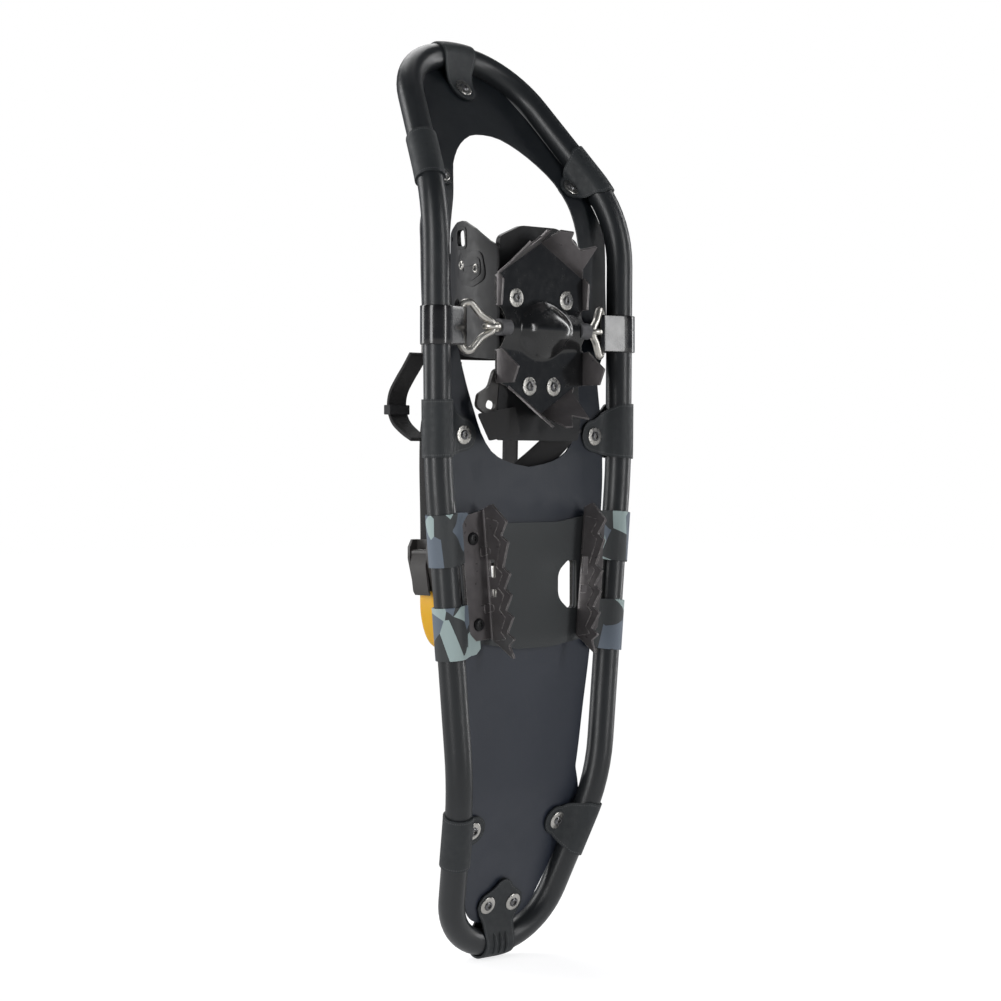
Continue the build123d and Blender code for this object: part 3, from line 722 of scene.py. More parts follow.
def wrap_clip(name, middle, normal_of, section, reach_of, shades, thickness=1.7, columns=13, fixed=None):
    """A strap round the tube. reach_of gives how far it runs each way along the tube at a distance inboard.

    fixed is the inboard direction of a strap whose far part runs straight in from a curved tube."""
    rows, marks, along = [], [], 0.0
    previous = None
    for point in section:
        low, high = reach_of(point.x)
        if previous is not None:
            along += (point - previous).length
        previous = point
        row = []
        for k in range(columns):
            v = low + (high - low) * (0.5 - 0.5 * math.cos(math.pi * k / (columns - 1)))
            centre, direction = route.place(middle + v)
            up = normal_of(direction)
            inboard = direction.cross(up)
            if fixed is not None:
                share = min(max((point.x - 4) / 18, 0), 1)
                flat = route.place(middle)[0] + route.place(middle)[1] * v
                centre = centre.lerp(flat, share)
                inboard = fixed
            elif inboard.x * centre.x > 0:
                inboard = -inboard
            row.append(at(*(centre + inboard * point.x + up * point.y)))
        rows.append(row)
        marks.append((along, high - low))

    def uv(i, k):
        t = 0.5 - 0.5 * math.cos(math.pi * k / (columns - 1))
        run, span = marks[i]
        return run, min(t, 1 - t) * span

    made = sheet_grid(name, rows, shades, "frame", thickness, False, uv)
    return bevelled(made, 0.45, 2, 50)


def table_of(points):
    """A straight-line table: distance inboard to (low, high)."""

    def look(x):
        if x <= points[0][0]:
            return points[0][1:]
        for a, b in zip(points, points[1:]):
            if x <= b[0]:
                t = (x - a[0]) / (b[0] - a[0])
                return tuple(p + (q - p) * t for p, q in zip(a[1:], b[1:]))
        return points[-1][1:]

    return look


def tab_end(reach, shift, radius, steps):
    """The rows of a strap's round end."""
    rows = []
    for step in range(1, steps + 1):
        a = math.pi / 2 * step / steps
        half = max(radius * math.cos(a), 0.6)
        rows.append((reach + radius * math.sin(a), shift - half, shift + half))
    return rows


def tab_table(length, reach, shift, radius):
    points = [(7, -length / 2, length / 2), (reach, shift - radius, shift + radius)]
    return table_of(points + tab_end(reach, shift, radius, 8))


def side_normal(direction):
    up = direction.cross(Vector((1, 0, 0)))
    return up.normalized() if up.y > 0 else -up.normalized()


# Each clip: the straight it sits on, its height, length, tab reach, tab shift, tab radius and seat.
CLIPS = {
    "upper_clip": (SIDE_HIGH, NOSE_BEND, 658, 46, 19.5, -3, 11, 9.8),
    "mid_clip": (SIDE_MID, SIDE_HIGH, 440, 46, 28.5, -5, 14, 3.2),
    "lower_clip": (TAIL_BEND, SIDE_LOW, 108, 46, 21.5, -1, 13, 7.6),
}
LEAF = 2.8
screw_places = []
for name, (first, second, height, length, reach, shift, radius, seat) in CLIPS.items():
    first, second = Vector(first), Vector(second)
    line = section_line(12, seat, 1.85, min(15, reach - 6), reach + radius)
    table = tab_table(length, reach, shift, radius)
    right = wrap_clip(name + "_band_right", route.find(height), side_normal, line, table, clip_rubber)
    both_hands(right, name + "_band", name, "frame")
    along = (second - first).normalized()
    up = side_normal(along)
    inboard = along.cross(up)
    inboard = -inboard if inboard.x > 0 else inboard
    origin = first + (second - first) * (height - first.z) / (second.z - first.z)
    spot = origin + inboard * reach + along * shift + up * (seat - LEAF)
    screw_places += [(spot, -up), (Vector((-spot.x, spot.y, spot.z)), Vector((up.x, -up.y, -up.z)))]

nose_slope = math.atan2(NOSE_DEPTH, NOSE_Z - SIDE_HIGH[2])
tail_slope = math.atan2(TAIL_DEPTH, SIDE_LOW[2] - TAIL_Z)
nose_up = Vector((0, math.cos(nose_slope), -math.sin(nose_slope)))
nose_in = Vector((0, -math.sin(nose_slope), -math.cos(nose_slope)))
tail_up = Vector((0, math.cos(tail_slope), math.sin(tail_slope)))
tail_in = Vector((0, -math.sin(tail_slope), math.cos(tail_slope)))


def end_table(points, centre, radius):
    """A symmetric strap: half widths at distances inboard, then a round end."""
    return table_of([(d, -half, half) for d, half in points] + tab_end(centre, 0, radius, 9))


nose_table = end_table([(5, 18), (20, 14), (32, 13)], 32, 13)
nose = wrap_clip("nose_clip_band", HALF, lambda d: nose_up, section_line(12, 5.7, 1.85, 20, 45), nose_table,
    clip_rubber, 1.8, fixed=nose_in)
tail_table = end_table([(6, 16), (19, 17), (31, 25), (41, 24), (47, 17)], 47, 10)
tail = wrap_clip("tail_clip_band", 0, lambda d: tail_up, section_line(12, 2.8, 1.85, 20, 57), tail_table,
    clip_rubber, 1.8, fixed=tail_in)
stands_for("nose_clip")
stands_for("tail_clip")
screw_places.append((Vector((0, NOSE_DEPTH, NOSE_Z)) + nose_in * 32.5 + nose_up * (5.7 - LEAF), -nose_up))
for across in (-14.4, 14.4):
    screw_places.append((Vector((across, TAIL_DEPTH, TAIL_Z)) + tail_in * 34.6 + tail_up * (2.8 - LEAF),
        -tail_up))


def lathe(name, profile, place, shades, steps=40):
    """A turned piece: (radius, height) points about the place's Z."""
    vertices, faces = [], []
    for radius, height in profile:
        for step in range(steps):
            a = 2 * math.pi * step / steps
            vertices.append(place @ Vector((radius * math.cos(a), radius * math.sin(a), height)))
    for i in range(len(profile) - 1):
        for step in range(steps):
            j = (step + 1) % steps
            faces.append((i * steps + step, i * steps + j, (i + 1) * steps + j, (i + 1) * steps + step))
    faces.append(tuple(range(steps))[::-1])
    faces.append(tuple(range((len(profile) - 1) * steps, len(profile) * steps)))
    return new_object(name, vertices, faces, shades, None, 40)


def join(name, pieces, body):
    """One object from several."""
    mesh = bmesh.new()
    materials = []
    for piece in pieces:
        start = len(mesh.faces)
        mesh.from_mesh(piece.data)
        mesh.faces.ensure_lookup_table()
        for face in mesh.faces[start:]:
            material = piece.data.materials[face.material_index]
            if material not in materials:
                materials.append(material)
            face.material_index = materials.index(material)
    data = bpy.data.meshes.new(name)
    mesh.to_mesh(data)
    mesh.free()
    for material in materials:
        data.materials.append(material)
    for piece in pieces:
        bpy.data.objects.remove(piece)
    made = bpy.data.objects.new(name, data)
    bpy.context.scene.collection.objects.link(made)
    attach(made, body)
    return made


def rod_along(name, points, radius, shades, body, closed=False, sides=20):
    """A round bar along a line of points in millimetres."""
    rows, count = [], len(points)
    points = [Vector(p) for p in points]
    up = Vector((0.13, 0.21, 0.97))
    for i, point in enumerate(points):
        before = points[i - 1] if i or closed else points[0]
        after = points[(i + 1) % count] if i + 1 < count or closed else points[-1]
        heading = (after - before).normalized()
        first = heading.cross(up).normalized()
        up = first.cross(heading).normalized()
        size = radius(i / (count - 1)) if callable(radius) else radius
        ring = [2 * math.pi * k / sides for k in range(sides)]
        rows.append([at(*(point + (first * math.cos(a) + up * math.sin(a)) * size)) for a in ring])
    faces = []
    for i in range(count if closed else count - 1):
        j = (i + 1) % count
        shift = 0
        if closed and j == 0:
            shift = min(range(sides), key=lambda k: (rows[0][k] - rows[i][0]).length)
        for k in range(sides):
            m = (k + 1) % sides
            faces.append((i * sides + k, i * sides + m, j * sides + (m + shift) % sides,
                j * sides + (k + shift) % sides))
    if not closed:
        faces += [tuple(range(sides))[::-1], tuple(range((count - 1) * sides, count * sides))]
    made = new_object(name, [v for row in rows for v in row], faces, shades, body, 60)
    tidy = bmesh.new()
    tidy.from_mesh(made.data)
    bmesh.ops.recalc_face_normals(tidy, faces=tidy.faces)
    tidy.to_mesh(made.data)
    tidy.free()
    return made


def tail_rib(across):
    """A ridge moulded across the strap's front, tapering out at both ends."""
    centre = Vector((across * 0.8, TAIL_DEPTH, TAIL_Z))
    points = []
    for step in range(25):
        turn = math.radians(-18 - 96 * step / 24)
        reach = 12.9
        points.append(centre + (tail_in * math.cos(turn) + tail_up * math.sin(turn)) * reach)
    return rod_along("rib", points,
        lambda t: 0.35 + 1.25 * math.sin(math.pi * min(max(t, 0.02), 0.98)) ** 0.6, clip_rubber, None,
        False, 12)


ribs = join("tail_clip_ribs", [tail_rib(across) for across in (-8, 0, 8)], "frame")
stands_for("tail_clip")


def toe_ring():
    """A rounded triangle of wire: its bar in the strap's loop, its point through the axle's eye."""
    bar, tip = Vector((81, -2)), Vector((56.6, -15.0))
    half = [(0, 0), (0, 9), (0.02, 14), (0.13, 18.6), (0.32, 18.9), (0.47, 14.6), (0.62, 9.6), (0.80, 6.2),
        (0.95, 3.6), (1.0, 0)]
    shape = half + [(t, -z) for t, z in half[-2:0:-1]]
    points = []
    for t, z in shape:
        flat = bar.lerp(tip, t)
        points.append(Vector((flat.x, flat.y, AXLE_Z + z)))
    count = len(points)
    smooth = []
    for i in range(count):
        p0, p1, p2, p3 = (points[(i + k - 1) % count] for k in range(4))
        for step in range(6):
            t = step / 6
            smooth.append(0.5 * (2 * p1 + (p2 - p0) * t + (2 * p0 - 5 * p1 + 4 * p2 - p3) * t**2
                + (3 * p1 - p0 - 3 * p2 + p3) * t**3))
    return rod_along("toe_ring_wire_right", smooth, 2.9, nickel, "frame", True)


both_hands(toe_ring(), "toe_ring_wire", "toe_ring", "frame")


# ---------------------------------------------------------------- deck
DECK_LINE = [(28, 45.3), (46, 39.5), (80, 30.5), (112, 21.6), (149, 11.5), (212, 6.5), (255, 3), (310, 1),
    (370, 1.2),
             (410, 2.4), (436, 3.4), (480, 10), (520, 15.4), (560, 17.6), (595, 18.4), (626, 21.8),
             (645.6, 29.7),
             (660, 38.8), (676, 49.5), (688, 57.6), (729.5, 86), (746, 98)]
DECK_EDGE = [(31, 31, 30), (50, 75, 60), (60, 100, 10), (68, 138, 6), (61, 158, 14), (85, 400, 200),
             (87.5, 488, 12), (104.5, 516, 20), (105, 606, 40), (80, 664, 60), (62.5, 707, 60),
             (49, 731, 30), (28, 745.5, 20)]
OPENING = [(0, 409.5), (24, 413.5), (42, 421.5), (53, 436), (59, 455), (65, 480), (70, 510), (73.5, 550),
    (74, 590),
           (69, 620), (57, 652), (44, 668), (30, 679), (15, 686), (0, 687.5)]
WINDOW = [(50, 292, 3), (50, 332, 3), (40, 332, 7), (28.5, 323, 14), (28.5, 301, 14), (40, 292, 7)]


def even_skin(depth):
    """Sets a sheet's two faces off its depth so that it stays evenly thick where it slopes."""

    def face(x, z, side):
        slope_x = (depth(x + 0.5, z) - depth(x - 0.5, z))
        slope_z = (depth(x, z + 0.5) - depth(x, z - 0.5))
        return depth(x, z) + side * min(math.sqrt(1 + slope_x**2 + slope_z**2), 2.2)

    return face


def depth_sheet(name, low, high, cells, face, thickness, outline, holes, shades, body, angle=32):
    """A closed sheet cut to an outline with holes. face gives the depth of either side of it."""
    wide, tall = cells
    layers, faces = [], []
    for side in (-thickness / 2, thickness / 2):
        for i in range(tall + 1):
            z = low[1] + (high[1] - low[1]) * i / tall
            for k in range(wide + 1):
                x = low[0] + (high[0] - low[0]) * k / wide
                layers.append(at(x, face(x, z, side), z))
    row, total = wide + 1, (wide + 1) * (tall + 1)
    for i in range(tall):
        for k in range(wide):
            a = i * row + k
            faces += [(a, a + 1, a + row + 1, a + row),
                (total + a, total + a + row, total + a + row + 1, total + a + 1)]
        a, b = i * row, i * row + wide
        faces += [(a, a + row, total + a + row, total + a), (b, total + b, total + b + row, b + row)]
    for k in range(wide):
        a, b = k, tall * row + k
        faces += [(a, total + a, total + a + 1, a + 1), (b, b + 1, total + b + 1, total + b)]
    sheet = new_object(name, layers, faces, shades, None, 30)
    carve(sheet, prism("cut", outline, 240, front_place(160), shades), "INTERSECT")
    for hole in holes:
        carve(sheet, prism("cut", hole, 240, front_place(160), shades))
    soften(sheet, angle)
    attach(sheet, body)
    return sheet


def mirror_outline(outline):
    return [(-x, y) for x, y in outline]


deck_depth = through(DECK_LINE)


def deck_face(x, z, side):
    lean = (deck_depth(z + 1) - deck_depth(z - 1)) / 2
    ripple = 0.25 * math.sin(z / 31 + x / 40) * math.cos(x / 23)
    return deck_depth(z) + ripple + side * math.sqrt(1 + lean * lean)


window = rounded(WINDOW)
windows = [window, mirror_outline(window)]
half = [tuple(p) for p in smooth_line(OPENING, 40)]
opening = half + mirror_outline(half[-2:0:-1])
deck = depth_sheet("deck_sheet", (-108, 29), (108, 745), (44, 150), deck_face, 1.5,
                   rounded(both_sides(DECK_EDGE), 14), [opening] + windows, deck_coat, "frame", 30)
bevelled(deck, 0.35, 2, 60)
stands_for("deck")


# ---------------------------------------------------------------- fasteners
WASHER = [(2.4, 0), (7.7, 0), (7.7, 0.5), (7.4, 0.8), (7.0, 0.92), (4.9, 0.92), (4.5, 1.0), (2.4, 1.0)]


def screw_profile(length, wide=3.9):
    low = 1.1
    head = [(0.02, low - 0.2), (1.75, low - 0.1), (1.95, low + 1.45), (2.4, low + 1.6),
        (wide - 0.8, low + 1.35), (wide, low + 0.5), (wide, low - 0.4)]
    return [(0.02, 0.3 - length), (2.0, 0.3 - length), (2.0, low - 0.4)] + head[::-1]


def fastener(profile, spot, out, shades):
    other = Vector((0, 0, 1)).cross(out) if abs(out.z) < 0.9 else Vector((1, 0, 0))
    return lathe("one", profile, frame_at(at(*spot), other, out.cross(other)), shades)


def fasteners(name, profile, places, shades, body, node):
    made = join(name, [fastener(profile, spot, out, shades) for spot, out in places], body)
    soften(made, 40)
    stands_for(node)


fasteners("clip_washer_set", WASHER, screw_places, zinc, "frame", "clip_washers")
fasteners("clip_screw_set", screw_profile(7.5), screw_places, dark_steel, "frame",
    "clip_screws")
crampon_places = [(Vector((x, -12, z)), Vector((0, -1, 0))) for x,
    z in ((28.6, 546.7), (13.7, 475.2), (-28.6, 546.7), (-13.7, 475.2))]
fasteners("crampon_washer_set", WASHER, crampon_places, zinc, "binding", "crampon_washers")
fasteners("crampon_screw_set", screw_profile(9), crampon_places, dark_steel, "binding",
    "crampon_screws")


# ---------------------------------------------------------------- sheets pressed and folded from flat
FLAT = Matrix.Scale(0.001, 4)


def laid(piece, cuts, lay):
    """Lays a flat solid on a surface: lay gives the place and normal of each (x, y) in mm."""
    mesh = bmesh.new()
    mesh.from_mesh(piece.data)
    for point, normal in cuts:
        every = mesh.verts[:] + mesh.edges[:] + mesh.faces[:]
        bmesh.ops.bisect_plane(mesh, geom=every, plane_co=Vector(point) / 1000, plane_no=Vector(normal))
    for vertex in mesh.verts:
        place, normal = lay(vertex.co.x * 1000, vertex.co.y * 1000)
        vertex.co = at(*(place + normal * vertex.co.z * 1000))
    bmesh.ops.recalc_face_normals(mesh, faces=mesh.faces)
    mesh.to_mesh(piece.data)
    mesh.free()
    soften(piece, 32)
    return piece


def flat_sheet(name, outline, thickness, shades, holes=(), low=None):
    low = -thickness / 2 if low is None else low
    sheet = prism(name, outline, thickness, FLAT @ Matrix.Translation((0, 0, low)), shades)
    for hole in holes:
        carve(sheet, prism("cut", hole, 40, FLAT @ Matrix.Translation((0, 0, -20)), shades))
    return sheet


def ring_points(x, y, radius, steps=20):
    return [(x + radius * math.cos(2 * math.pi * i / steps),
        y + radius * math.sin(2 * math.pi * i / steps)) for i in range(steps)]


# Heel crampons: one plate folded along a rounded edge, its toothed wall stamped along the teeth.
FOLD_R, PLATE_HALF = 3.0, 1.2
LEAN = math.atan2(SIDE_MID[0] - SIDE_LOW[0], SIDE_MID[2] - SIDE_LOW[2])


def bracket_lay(s, z):
    start = PLATE_HALF + FOLD_R
    centre = Vector((start, -start, 0))
    run = start - s
    turn = min(max(run / FOLD_R, 0), math.pi / 2)
    normal = Vector((-math.sin(turn), math.cos(turn), 0))
    tangent = Vector((-math.cos(turn), -math.sin(turn), 0))
    rest = run if run < 0 else max(run - FOLD_R * math.pi / 2, 0)
    place = centre + normal * FOLD_R + tangent * rest + Vector((0, 0, z))
    turn_back = Matrix.Rotation(LEAN, 3, "Y")
    return Vector((51.2, -3, 322)) + turn_back @ place, turn_back @ normal


def wall_at(depth):
    return (PLATE_HALF + FOLD_R) - (FOLD_R * math.pi / 2 + depth - PLATE_HALF - FOLD_R)


def heel_crampon():
    tips = (44, 27.5, 2, -15, -33, -51)
    wall, stamp = [(4, 53), (-5, 57), (wall_at(12), 58)], [(wall_at(5), 47)]
    for index, tip in enumerate(tips):
        wall.append((wall_at(28), tip))
        stamp.append((wall_at(20), tip))
        if index + 1 < len(tips):
            wall.append((wall_at(20), tips[index + 1] + 5))
            stamp.append((wall_at(13.5), tips[index + 1] + 5.5))
    wall += [(wall_at(21), -56), (wall_at(27), -68), (wall_at(12), -58), (4, -51)]
    stamp += [(wall_at(5), -53)]
    foot = [(20, -51), (27, -43), (27, 43), (20, 51)]
    outline = rounded([(*c, 1.2) for c in foot + wall])
    slots = [rounded([(wall_at(12), low, 1), (wall_at(12), high, 1), (wall_at(4.5), high, 1),
        (wall_at(4.5), low, 1)]) for low, high in ((-1.5, 13), (-17, -11))]
    holes = slots + [ring_points(16, z, 2.2) for z in (31.5, -38)]
    plate = flat_sheet("heel_plate_teeth", outline, 2.4, tooth_coat, holes)
    raised = [flat_sheet("stamp", rounded([(*c, 1.5) for c in stamp]), 0.7, tooth_coat, slots, low)
        for low in (1.1, -1.8)]
    gussets = []
    for z in (20, -26):
        gussets.append(flat_sheet("gusset",
            rounded([(9, z - 4, 2), (9, z + 4, 2), (wall_at(8), z + 2.5, 2), (wall_at(8), z - 2.5, 2)]),
            1.0, tooth_coat, (), -2.0))
    cuts = [((PLATE_HALF + FOLD_R - i * FOLD_R * math.pi / 12, 0, 0), (1, 0, 0)) for i in range(7)]
    made = [laid(piece, cuts, bracket_lay) for piece in [plate] + raised + gussets]
    for piece in made:
        bevelled(piece, 0.35, 2, 40)
        bake(piece)
    return join("heel_crampon_plate_right", made, "frame")


both_hands(heel_crampon(), "heel_crampon_plate", "heel_crampon", "frame")
heel_places = []
for z in (31.5, -38):
    spot, normal = bracket_lay(16, z)
    front = spot - normal * 1.2
    heel_places += [(front, -normal),
        (Vector((-front.x, front.y, front.z)), Vector((normal.x, -normal.y, -normal.z)))]
fasteners("heel_crampon_screw_set",
    [(2, -14), (2, 0.05), (5.2, 0.05), (5.2, 0.8), (4.6, 1.9), (3.2, 2.5), (1.9, 2.6), (1.7, 1.4),
    (0.02, 1.3)],
          heel_places, moulded, "frame", "heel_crampon_screws")


# ---------------------------------------------------------------- heel panel
panel_edge = rounded(both_sides([(18, 261, 60), (60, 267, 14), (76, 257, 8), (76, 298, 6), (78, 330, 6),
    (80, 372, 6), (28, 364, 60)]), 10)
screw_holes = [ring_points(spot.x, spot.z, 2.3) for spot, _ in heel_places]
panel = depth_sheet("heel_panel_sheet", (-90, 250), (90, 378), (30, 24),
    even_skin(lambda x, z: -1.55 + 0.12 * math.sin(x / 9) * math.sin(z / 13)),
                    2.4, panel_edge, windows + screw_holes, panel_cloth, "frame")
bevelled(panel, 0.6, 3, 50)
stands_for("heel_panel")
for label, low, high in (("low", 255.5, 298), ("high", 330, 372)):
    half = (high - low) / 2
    ends = table_of([(8, -half, half), (23, -half + 1, half - 1), (27.5, -half + 5, half - 5)])
    line = section_line(12.2, -2.2, 2.2, 14, 28)
    right = wrap_clip("heel_panel_strap_" + label + "_right", route.find((low + high) / 2), side_normal,
        line, ends, printed_cloth, 1.6)
    left = mirrored(right, "heel_panel_strap_" + label + "_left", "frame")
    stands_for("heel_panel")
    stands_for("heel_panel")


# ---------------------------------------------------------------- toe crampon
def bulge(x, z):
    """How far the pressed plate stands out over the axle: a wide channel with a dome in its middle."""
    across = min(abs(z - AXLE_Z) / (17 + 5 * math.exp(-(x / 24) ** 2)), 1)
    channel = 7.4 * math.cos(math.pi / 2 * across) ** 2
    reach = math.hypot(x / 28, (z - 521) / 23)
    dome = 5.2 * (1 - min(reach, 1) ** 5) if reach < 1 else 0
    return channel + dome


def smooth_bulge(x, z):
    total, weight = 0, 0
    for dx in (-1.5, 0, 1.5):
        for dz in (-1.5, 0, 1.5):
            w = (2 if dx == 0 else 1) * (2 if dz == 0 else 1)
            total += w * bulge(x + dx, z + dz)
            weight += w
    return -11 - total / weight


PLATE_EDGE = [(0, 452, 3), (40, 475, 4), (50, 478, 3), (50, 504, 2), (45, 507, 5), (44, 537, 5),
    (50, 540, 2), (50, 565, 4), (0, 594, 3)]
plate_edge = rounded(PLATE_EDGE + [(-x, z, r) for x, z, r in reversed(PLATE_EDGE[1:-1])])
plate_holes = [ring_points(spot.x, spot.z, 2.3) for spot, _ in crampon_places]
plate = depth_sheet("toe_crampon_plate", (-56, 448), (56, 598), (90, 120), even_skin(smooth_bulge), 2,
    plate_edge, plate_holes, plate_coat, "binding")
bevelled(plate, 0.5, 2, 55)


def toothed_flange(name, apex, corner, points):
    start = Vector((0, -12, apex))
    edge = (Vector((corner[0], -12, corner[1])) - start).normalized()
    outward = Vector((-edge.z, 0, edge.x))
    if (corner[1] < apex) != (outward.z > 0):
        outward = -outward
    out = outward * math.sin(math.radians(30)) + Vector((0, -1, 0)) * math.cos(math.radians(30))
    place = frame_at(at(*start), edge, out) @ Matrix.Translation((0, 0, -1))
    return bevelled(prism(name, rounded([(*p, 1.0) for p in points]), 2, place, tooth_coat, None), 0.45, 2,
        40)


front_teeth = [(0.5, -1), (0.5, 20), (9.5, 27), (14, 20.5), (22, 19.5), (28.6, 18.8), (34.4, 32), (47, 7),
    (57, -1)]
rear_teeth = [(0.5, -1), (0.5, 25), (4.9, 29), (15, 20), (21, 34), (38, 3), (46, -1)]
side_tooth = [(-11, 504), (-18, 505), (-37, 490), (-31, 477), (-11, 477)]
side_strip = [(-11, 539.5), (-17, 539.5), (-19, 561), (-14, 566), (-11, 565)]
flanges = [toothed_flange("front", 594, (50, 565), front_teeth),
    toothed_flange("rear", 452, (40, 476), rear_teeth)]
for outline in (side_tooth, side_strip):
    flanges.append(bevelled(prism("side", rounded([(*p, 1.0) for p in outline]), 2, side_place(48),
        tooth_coat, None), 0.45, 2, 40))
halves = [bake(piece) for piece in flanges]
teeth = join("toe_crampon_teeth_right", halves, "binding")
soften(teeth, 35)
other_teeth = mirrored(teeth, "toe_crampon_teeth_left", "binding")
for piece in (plate, teeth, other_teeth):
    stands_for("toe_crampon")


# ---------------------------------------------------------------- toe straps
def belt(first, first_r, second, second_r, steps=14):
    """The line of a belt round two circles."""
    between_them = second - first
    heading = math.atan2(between_them.y, between_them.x)
    lean = math.acos((first_r - second_r) / between_them.length)
    points = []
    for step in range(steps + 1):
        a = heading + lean + (2 * math.pi - 2 * lean) * step / steps
        points.append(first + Vector((math.cos(a), math.sin(a))) * first_r)
    for i in range(1, 6):
        points.append(points[steps].lerp(second
            + Vector((math.cos(heading - lean), math.sin(heading - lean))) * second_r, i / 6))
    for step in range(steps + 1):
        a = heading - lean + 2 * lean * step / steps
        points.append(second + Vector((math.cos(a), math.sin(a))) * second_r)
    for i in range(1, 6):
        points.append(points[-1].lerp(points[0], 1 / (7 - i)))
    return points


def toe_strap():
    tube = Vector((104, 0))
    loop = belt(tube, 12.4, Vector((81, -2)), 4.6)
    places = [at(p.x, p.y, AXLE_Z) for p in loop]
    return strap("toe_strap_band_right", places, (0, 0, 1), 31, 1.9, gloss_band, "frame", True, 7, 0.6)


both_hands(toe_strap(), "toe_strap_band", "toe_strap", "frame")


# ---------------------------------------------------------------- binding
def dressed(node, shades, width, body, angle=35):
    """A CAD node's own shape with its sharp edges rounded."""
    source = nodes[node]
    mesh = source.data.copy()
    mesh.transform(source.matrix_world)
    mesh.materials.clear()
    mesh.materials.append(shades.material)
    made = bpy.data.objects.new(node + "_finished", mesh)
    bpy.context.scene.collection.objects.link(made)
    shape = bmesh.new()
    shape.from_mesh(mesh)
    bmesh.ops.remove_doubles(shape, verts=shape.verts, dist=0.00001)
    bmesh.ops.dissolve_limit(shape, angle_limit=math.radians(1), verts=shape.verts, edges=shape.edges)
    shape.to_mesh(mesh)
    shape.free()
    soften(made, angle)
    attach(made, body)
    bevelled(made, width, 3, 40)
    stands_for(node)


for node, shades, width, body, slot_name in (
        ("instep_buckle_body", satin_plastic, 0.6, "binding", "buckle"),
        ("heel_buckle_body", satin_plastic, 0.7, "binding", "buckle"),
        ("instep_buckle_lever", satin_plastic, 0.5, "instep_lever", "buckle"),
        ("heel_buckle_lever", satin_plastic, 0.6, "heel_lever", "buckle"),
        ("strap_keeper", soft_foam, 0.7, "binding", "grip")):
    dressed(node, shades, width, body)

WING_LINE = [(46.4, -12), (46.6, 0), (46, 13), (44.2, 26), (41.5, 38), (37, 51), (29.5, 64), (20, 74)]
wing_curve = smooth_line(WING_LINE, 121)
wing_runs = [0.0]
for a, b in zip(wing_curve, wing_curve[1:]):
    wing_runs.append(wing_runs[-1] + (b - a).length)


def wing_lay(s, z):
    """s is the run along the wing's curve from the footbed up and over the toe."""
    s = min(max(s, 0.01), wing_runs[-1] - 0.01)
    i = max(k for k in range(len(wing_runs) - 1) if wing_runs[k] <= s)
    t = (s - wing_runs[i]) / (wing_runs[i + 1] - wing_runs[i])
    point = wing_curve[i].lerp(wing_curve[i + 1], t)
    run = (wing_curve[i + 1] - wing_curve[i]).normalized()
    return Vector((point.x, point.y, z)), Vector((run.y, -run.x, 0))


RIVETS = ((48.5, 575), (27, 571))


def wing():
    outline = [(1, 497, 2), (1, 588, 4), (12, 593, 8), (30, 604, 12), (47, 611.5, 10), (58, 611, 12),
        (76, 604, 20), (94, 592, 6), (97, 560, 8),
               (96, 524, 8), (74, 508, 14), (44, 500, 14), (14, 497, 6)]
    slot = rounded([(43, 590, 3), (56, 591, 4), (58, 604, 4), (45, 604, 4)])
    lower = rounded([(50, 508, 6), (62, 520, 6), (66, 544, 8), (56, 550, 8), (47, 530, 8)])
    small = [ring_points(s, z, 2) for s, z in ((70, 598), (82, 590), (86, 572))]
    shell = flat_sheet("wing_shell_right", rounded(outline, 8), 2.6, moulded, [slot, lower] + small)
    rim = [flat_sheet("rim", rounded([(41, 588, 4), (58, 588.5, 5), (60.5, 606.5, 5), (42, 606.5, 5)]), 3.6,
        moulded, [slot])]
    lobe = flat_sheet("lobe",
        rounded([(14, 562, 9), (32, 556, 12), (52, 560, 12), (60, 576, 12), (50, 586, 10), (20, 585, 9)],
        8), 3.8, moulded, [ring_points(RIVETS[0][0], RIVETS[0][1], 1.7),
        ring_points(RIVETS[1][0], RIVETS[1][1], 1.7)])
    pocket = flat_sheet("pocket",
        rounded([(20, 566, 6), (33, 561, 8), (54, 565, 8), (55, 575, 8), (47, 581, 8), (22, 580, 6)], 8),
        4.6, moulded, [rounded([(27, 570, 4), (45, 569, 5), (46, 573, 4), (28, 574, 4)])])
    cuts = [((s, 0, 0), (1, 0, 0)) for s in range(3, 104, 4)] + [((0, z, 0), (0, 1, 0))
        for z in (525, 550, 575, 600)]
    made = [laid(piece, cuts, wing_lay) for piece in [shell] + rim + [lobe, pocket]]
    for piece in made:
        bevelled(piece, 0.6, 3, 40)
        bake(piece)
    return join("wing_shell_right", made, "binding")


right = wing()
soften(right, 35)
both_hands(right, "wing_shell", "wing", "binding")
rivet_places = []
for s, z in RIVETS:
    spot, normal = wing_lay(s, z)
    rivet_places += [(spot + normal * 1.8, normal),
        (Vector((-spot.x, spot.y, spot.z)) + Vector((-normal.x, normal.y, 0)) * 1.8,
        Vector((-normal.x, normal.y, 0)))]
fasteners("wing_rivet_set",
    [(1.5, -6), (1.5, 0), (3.9, 0), (3.9, 0.5), (3.3, 1.1), (2.5, 1.2), (2.0, 0.7), (1.8, -0.6),
    (0.02, -0.7)],
          rivet_places, zinc, "binding", "wing_rivets")

bed_edge = rounded(both_sides([(45, 431, 5), (48, 449, 10), (44.5, 478, 10), (44.5, 596, 8),
    (20, 606, 20)]), 8)
bed = depth_sheet("footbed_plate", (-50, 428), (50, 608), (40, 60),
    even_skin(lambda x, z: -7.4 + 0.25 * math.sin(z / 2.6) * (1 if z < 470 else 0.3)),
                  4.6, bed_edge, [], moulded, "binding")
carve(bed, prism("cut", ring_points(AXLE_DEPTH, AXLE_Z, 7.4, 28), 110, side_place(-55), moulded))
bevelled(bed, 0.9, 3, 50)
stands_for("footbed")


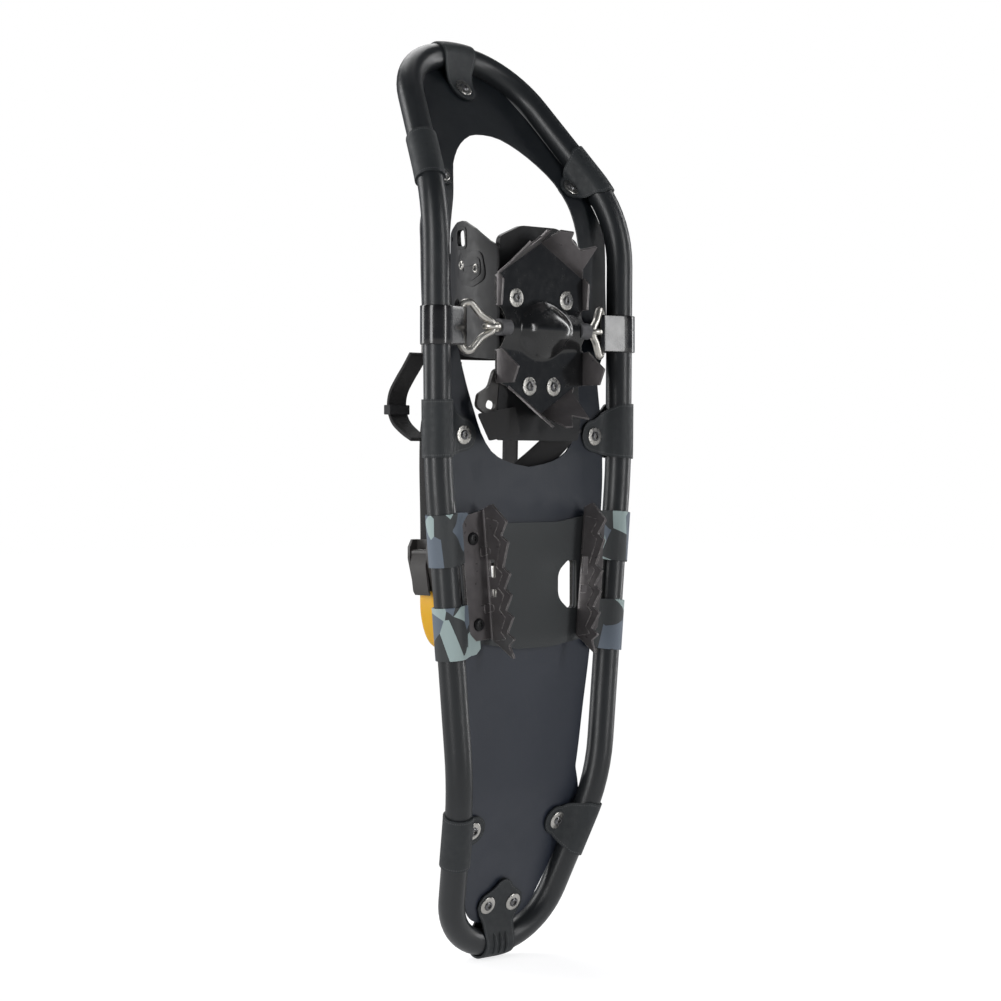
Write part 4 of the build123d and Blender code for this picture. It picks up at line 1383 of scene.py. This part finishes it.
def strap_along(name, points, normal, width, thickness, shades, body, count=40, round_edge=0.3, columns=5):
    """A flat strap along a smooth line in millimetres. normal lies in the strap's thickness."""
    line = smooth_line(points, count)
    across = []
    for i in range(count):
        heading = line[min(i + 1, count - 1)] - line[max(i - 1, 0)]
        across.append(heading.cross(Vector(normal)).normalized())
    return strap(name, [at(*p) for p in line], across, width, thickness, shades, body, False, columns,
        round_edge)


def turned(points, fixed, axis):
    """Points of a flat line in the plane across one axis, as places."""
    if axis == "z":
        return [(x, y, fixed) for x, y in points]
    if axis == "x":
        return [(fixed, y, z) for y, z in points]
    return [(x, fixed, z) for x, z in points]


def band_across(name, points, width_axis, width, thickness, shades, body, count=40, round_edge=0.3,
        columns=5):
    line = [at(*p) for p in smooth_line(points, count)]
    return strap(name, line, width_axis, width, thickness, shades, body, False, columns, round_edge)


pad_line = turned([(-26, 73), (-19.5, 76.5), (-8, 80), (8, 80), (19.5, 76.5), (26, 73)], 558, "z")
pad = band_across("instep_pad_foam", pad_line, (0, 0, 1), 60, 3.6, soft_foam, "binding", 40, 1.3, 9)
stands_for("instep_pad")
instep_line = turned([(45, 40), (41.5, 52), (34.5, 65.5), (23, 76.5), (0, 82.5), (-20, 81.6), (-36, 75),
    (-50, 66)], 512, "z")
instep = band_across("instep_webbing", instep_line, (0, 0, 1), 24, 1.6, webbing, "binding", 60)
stands_for("instep_strap")
tail_line = turned([(70, 503), (79, 492), (88, 482), (96, 471), (98, 459), (93, 447), (81, 438), (69, 432)],
    -61, "x")
free_end = band_across("instep_free_end", tail_line, (1, 0, 0), 19, 3.0, webbing, "binding", 50)
stands_for("instep_tail")
patch = depth_sheet("grip_patch_weave", (-74, 428), (-18, 461), (90, 90),
    even_skin(lambda x, z: -11.2 + 0.16 * math.sin(z * 4.2) * math.sin(x * 4.2)),
                    1.6, rounded([(-57, 430.5, 2), (-24, 436, 2), (-29, 458, 2), (-70, 452, 2)]), [],
                    webbing, "binding")
stands_for("grip_patch")

HEEL_LINE = [(42, 46, 500), (43.5, 55, 486), (45.5, 66, 466), (47, 73, 448), (47.5, 75, 420),
    (46.6, 75, 368), (46.2, 75, 341)]
right = strap_along("heel_web_right", HEEL_LINE, (1, 0, 0), 18, 1.6, webbing, "binding", 50)
both_hands(right, "heel_web", "heel_webbing", "binding")
cross = strap_along("rear_web", [(47, -3, 447), (34, 4, 431), (14, 12, 412), (0, 18, 400)], (0.3, -1, 0.2),
    25, 1.6, webbing, "binding", 24)
arm = depth_sheet("footbed_arm", (-72, 448), (-36, 492), (24, 30),
    even_skin(lambda x, z: -7 - 1.2 * math.exp(-((x + 58) / 8) ** 2)),
                  3.4, rounded([(-40, 450, 4), (-40, 490, 4), (-50, 488, 8), (-56, 474, 10), (-67, 468, 5),
                  (-69, 458, 5), (-60, 452, 5)], 8),
                  [rounded([(-61, 457, 3), (-50, 455, 4), (-48, 462, 4), (-58, 464, 4)])], satin_plastic,
                  "binding")
bevelled(arm, 0.8, 3, 50)
stands_for("footbed")
stands_for("footbed")
heel_loop = turned([(49.1, 356), (49.1, 328), (46, 286), (34, 262), (0, 252), (-34, 262), (-45, 284),
    (-46.2, 318)], 75, "y")
band = band_across("heel_strap_band", heel_loop, (0, 1, 0), 18, 3.2, heel_band, "binding", 80, 1.1, 9)
stands_for("heel_strap")


# ---------------------------------------------------------------- CAD nodes that keep their shape
KEPT = {
    "frame_tube": tube_coat, "frame_splice": bare_alloy, "clip_nuts": zinc, "crampon_nuts": zinc,
    "heel_crampon_nuts": zinc,
    "toe_axle": nickel, "heel_lift_bail": nickel,
    "toe_bushing_left": bushing_plastic, "toe_bushing_right": bushing_plastic,
    "instep_buckle_pin": zinc, "heel_buckle_pin": zinc, "heel_plate": moulded,
    "bail_bracket_left": satin_plastic, "bail_bracket_right": satin_plastic,
}
for name, shades in KEPT.items():
    for slot in nodes[name].material_slots:
        slot.material = shades.material
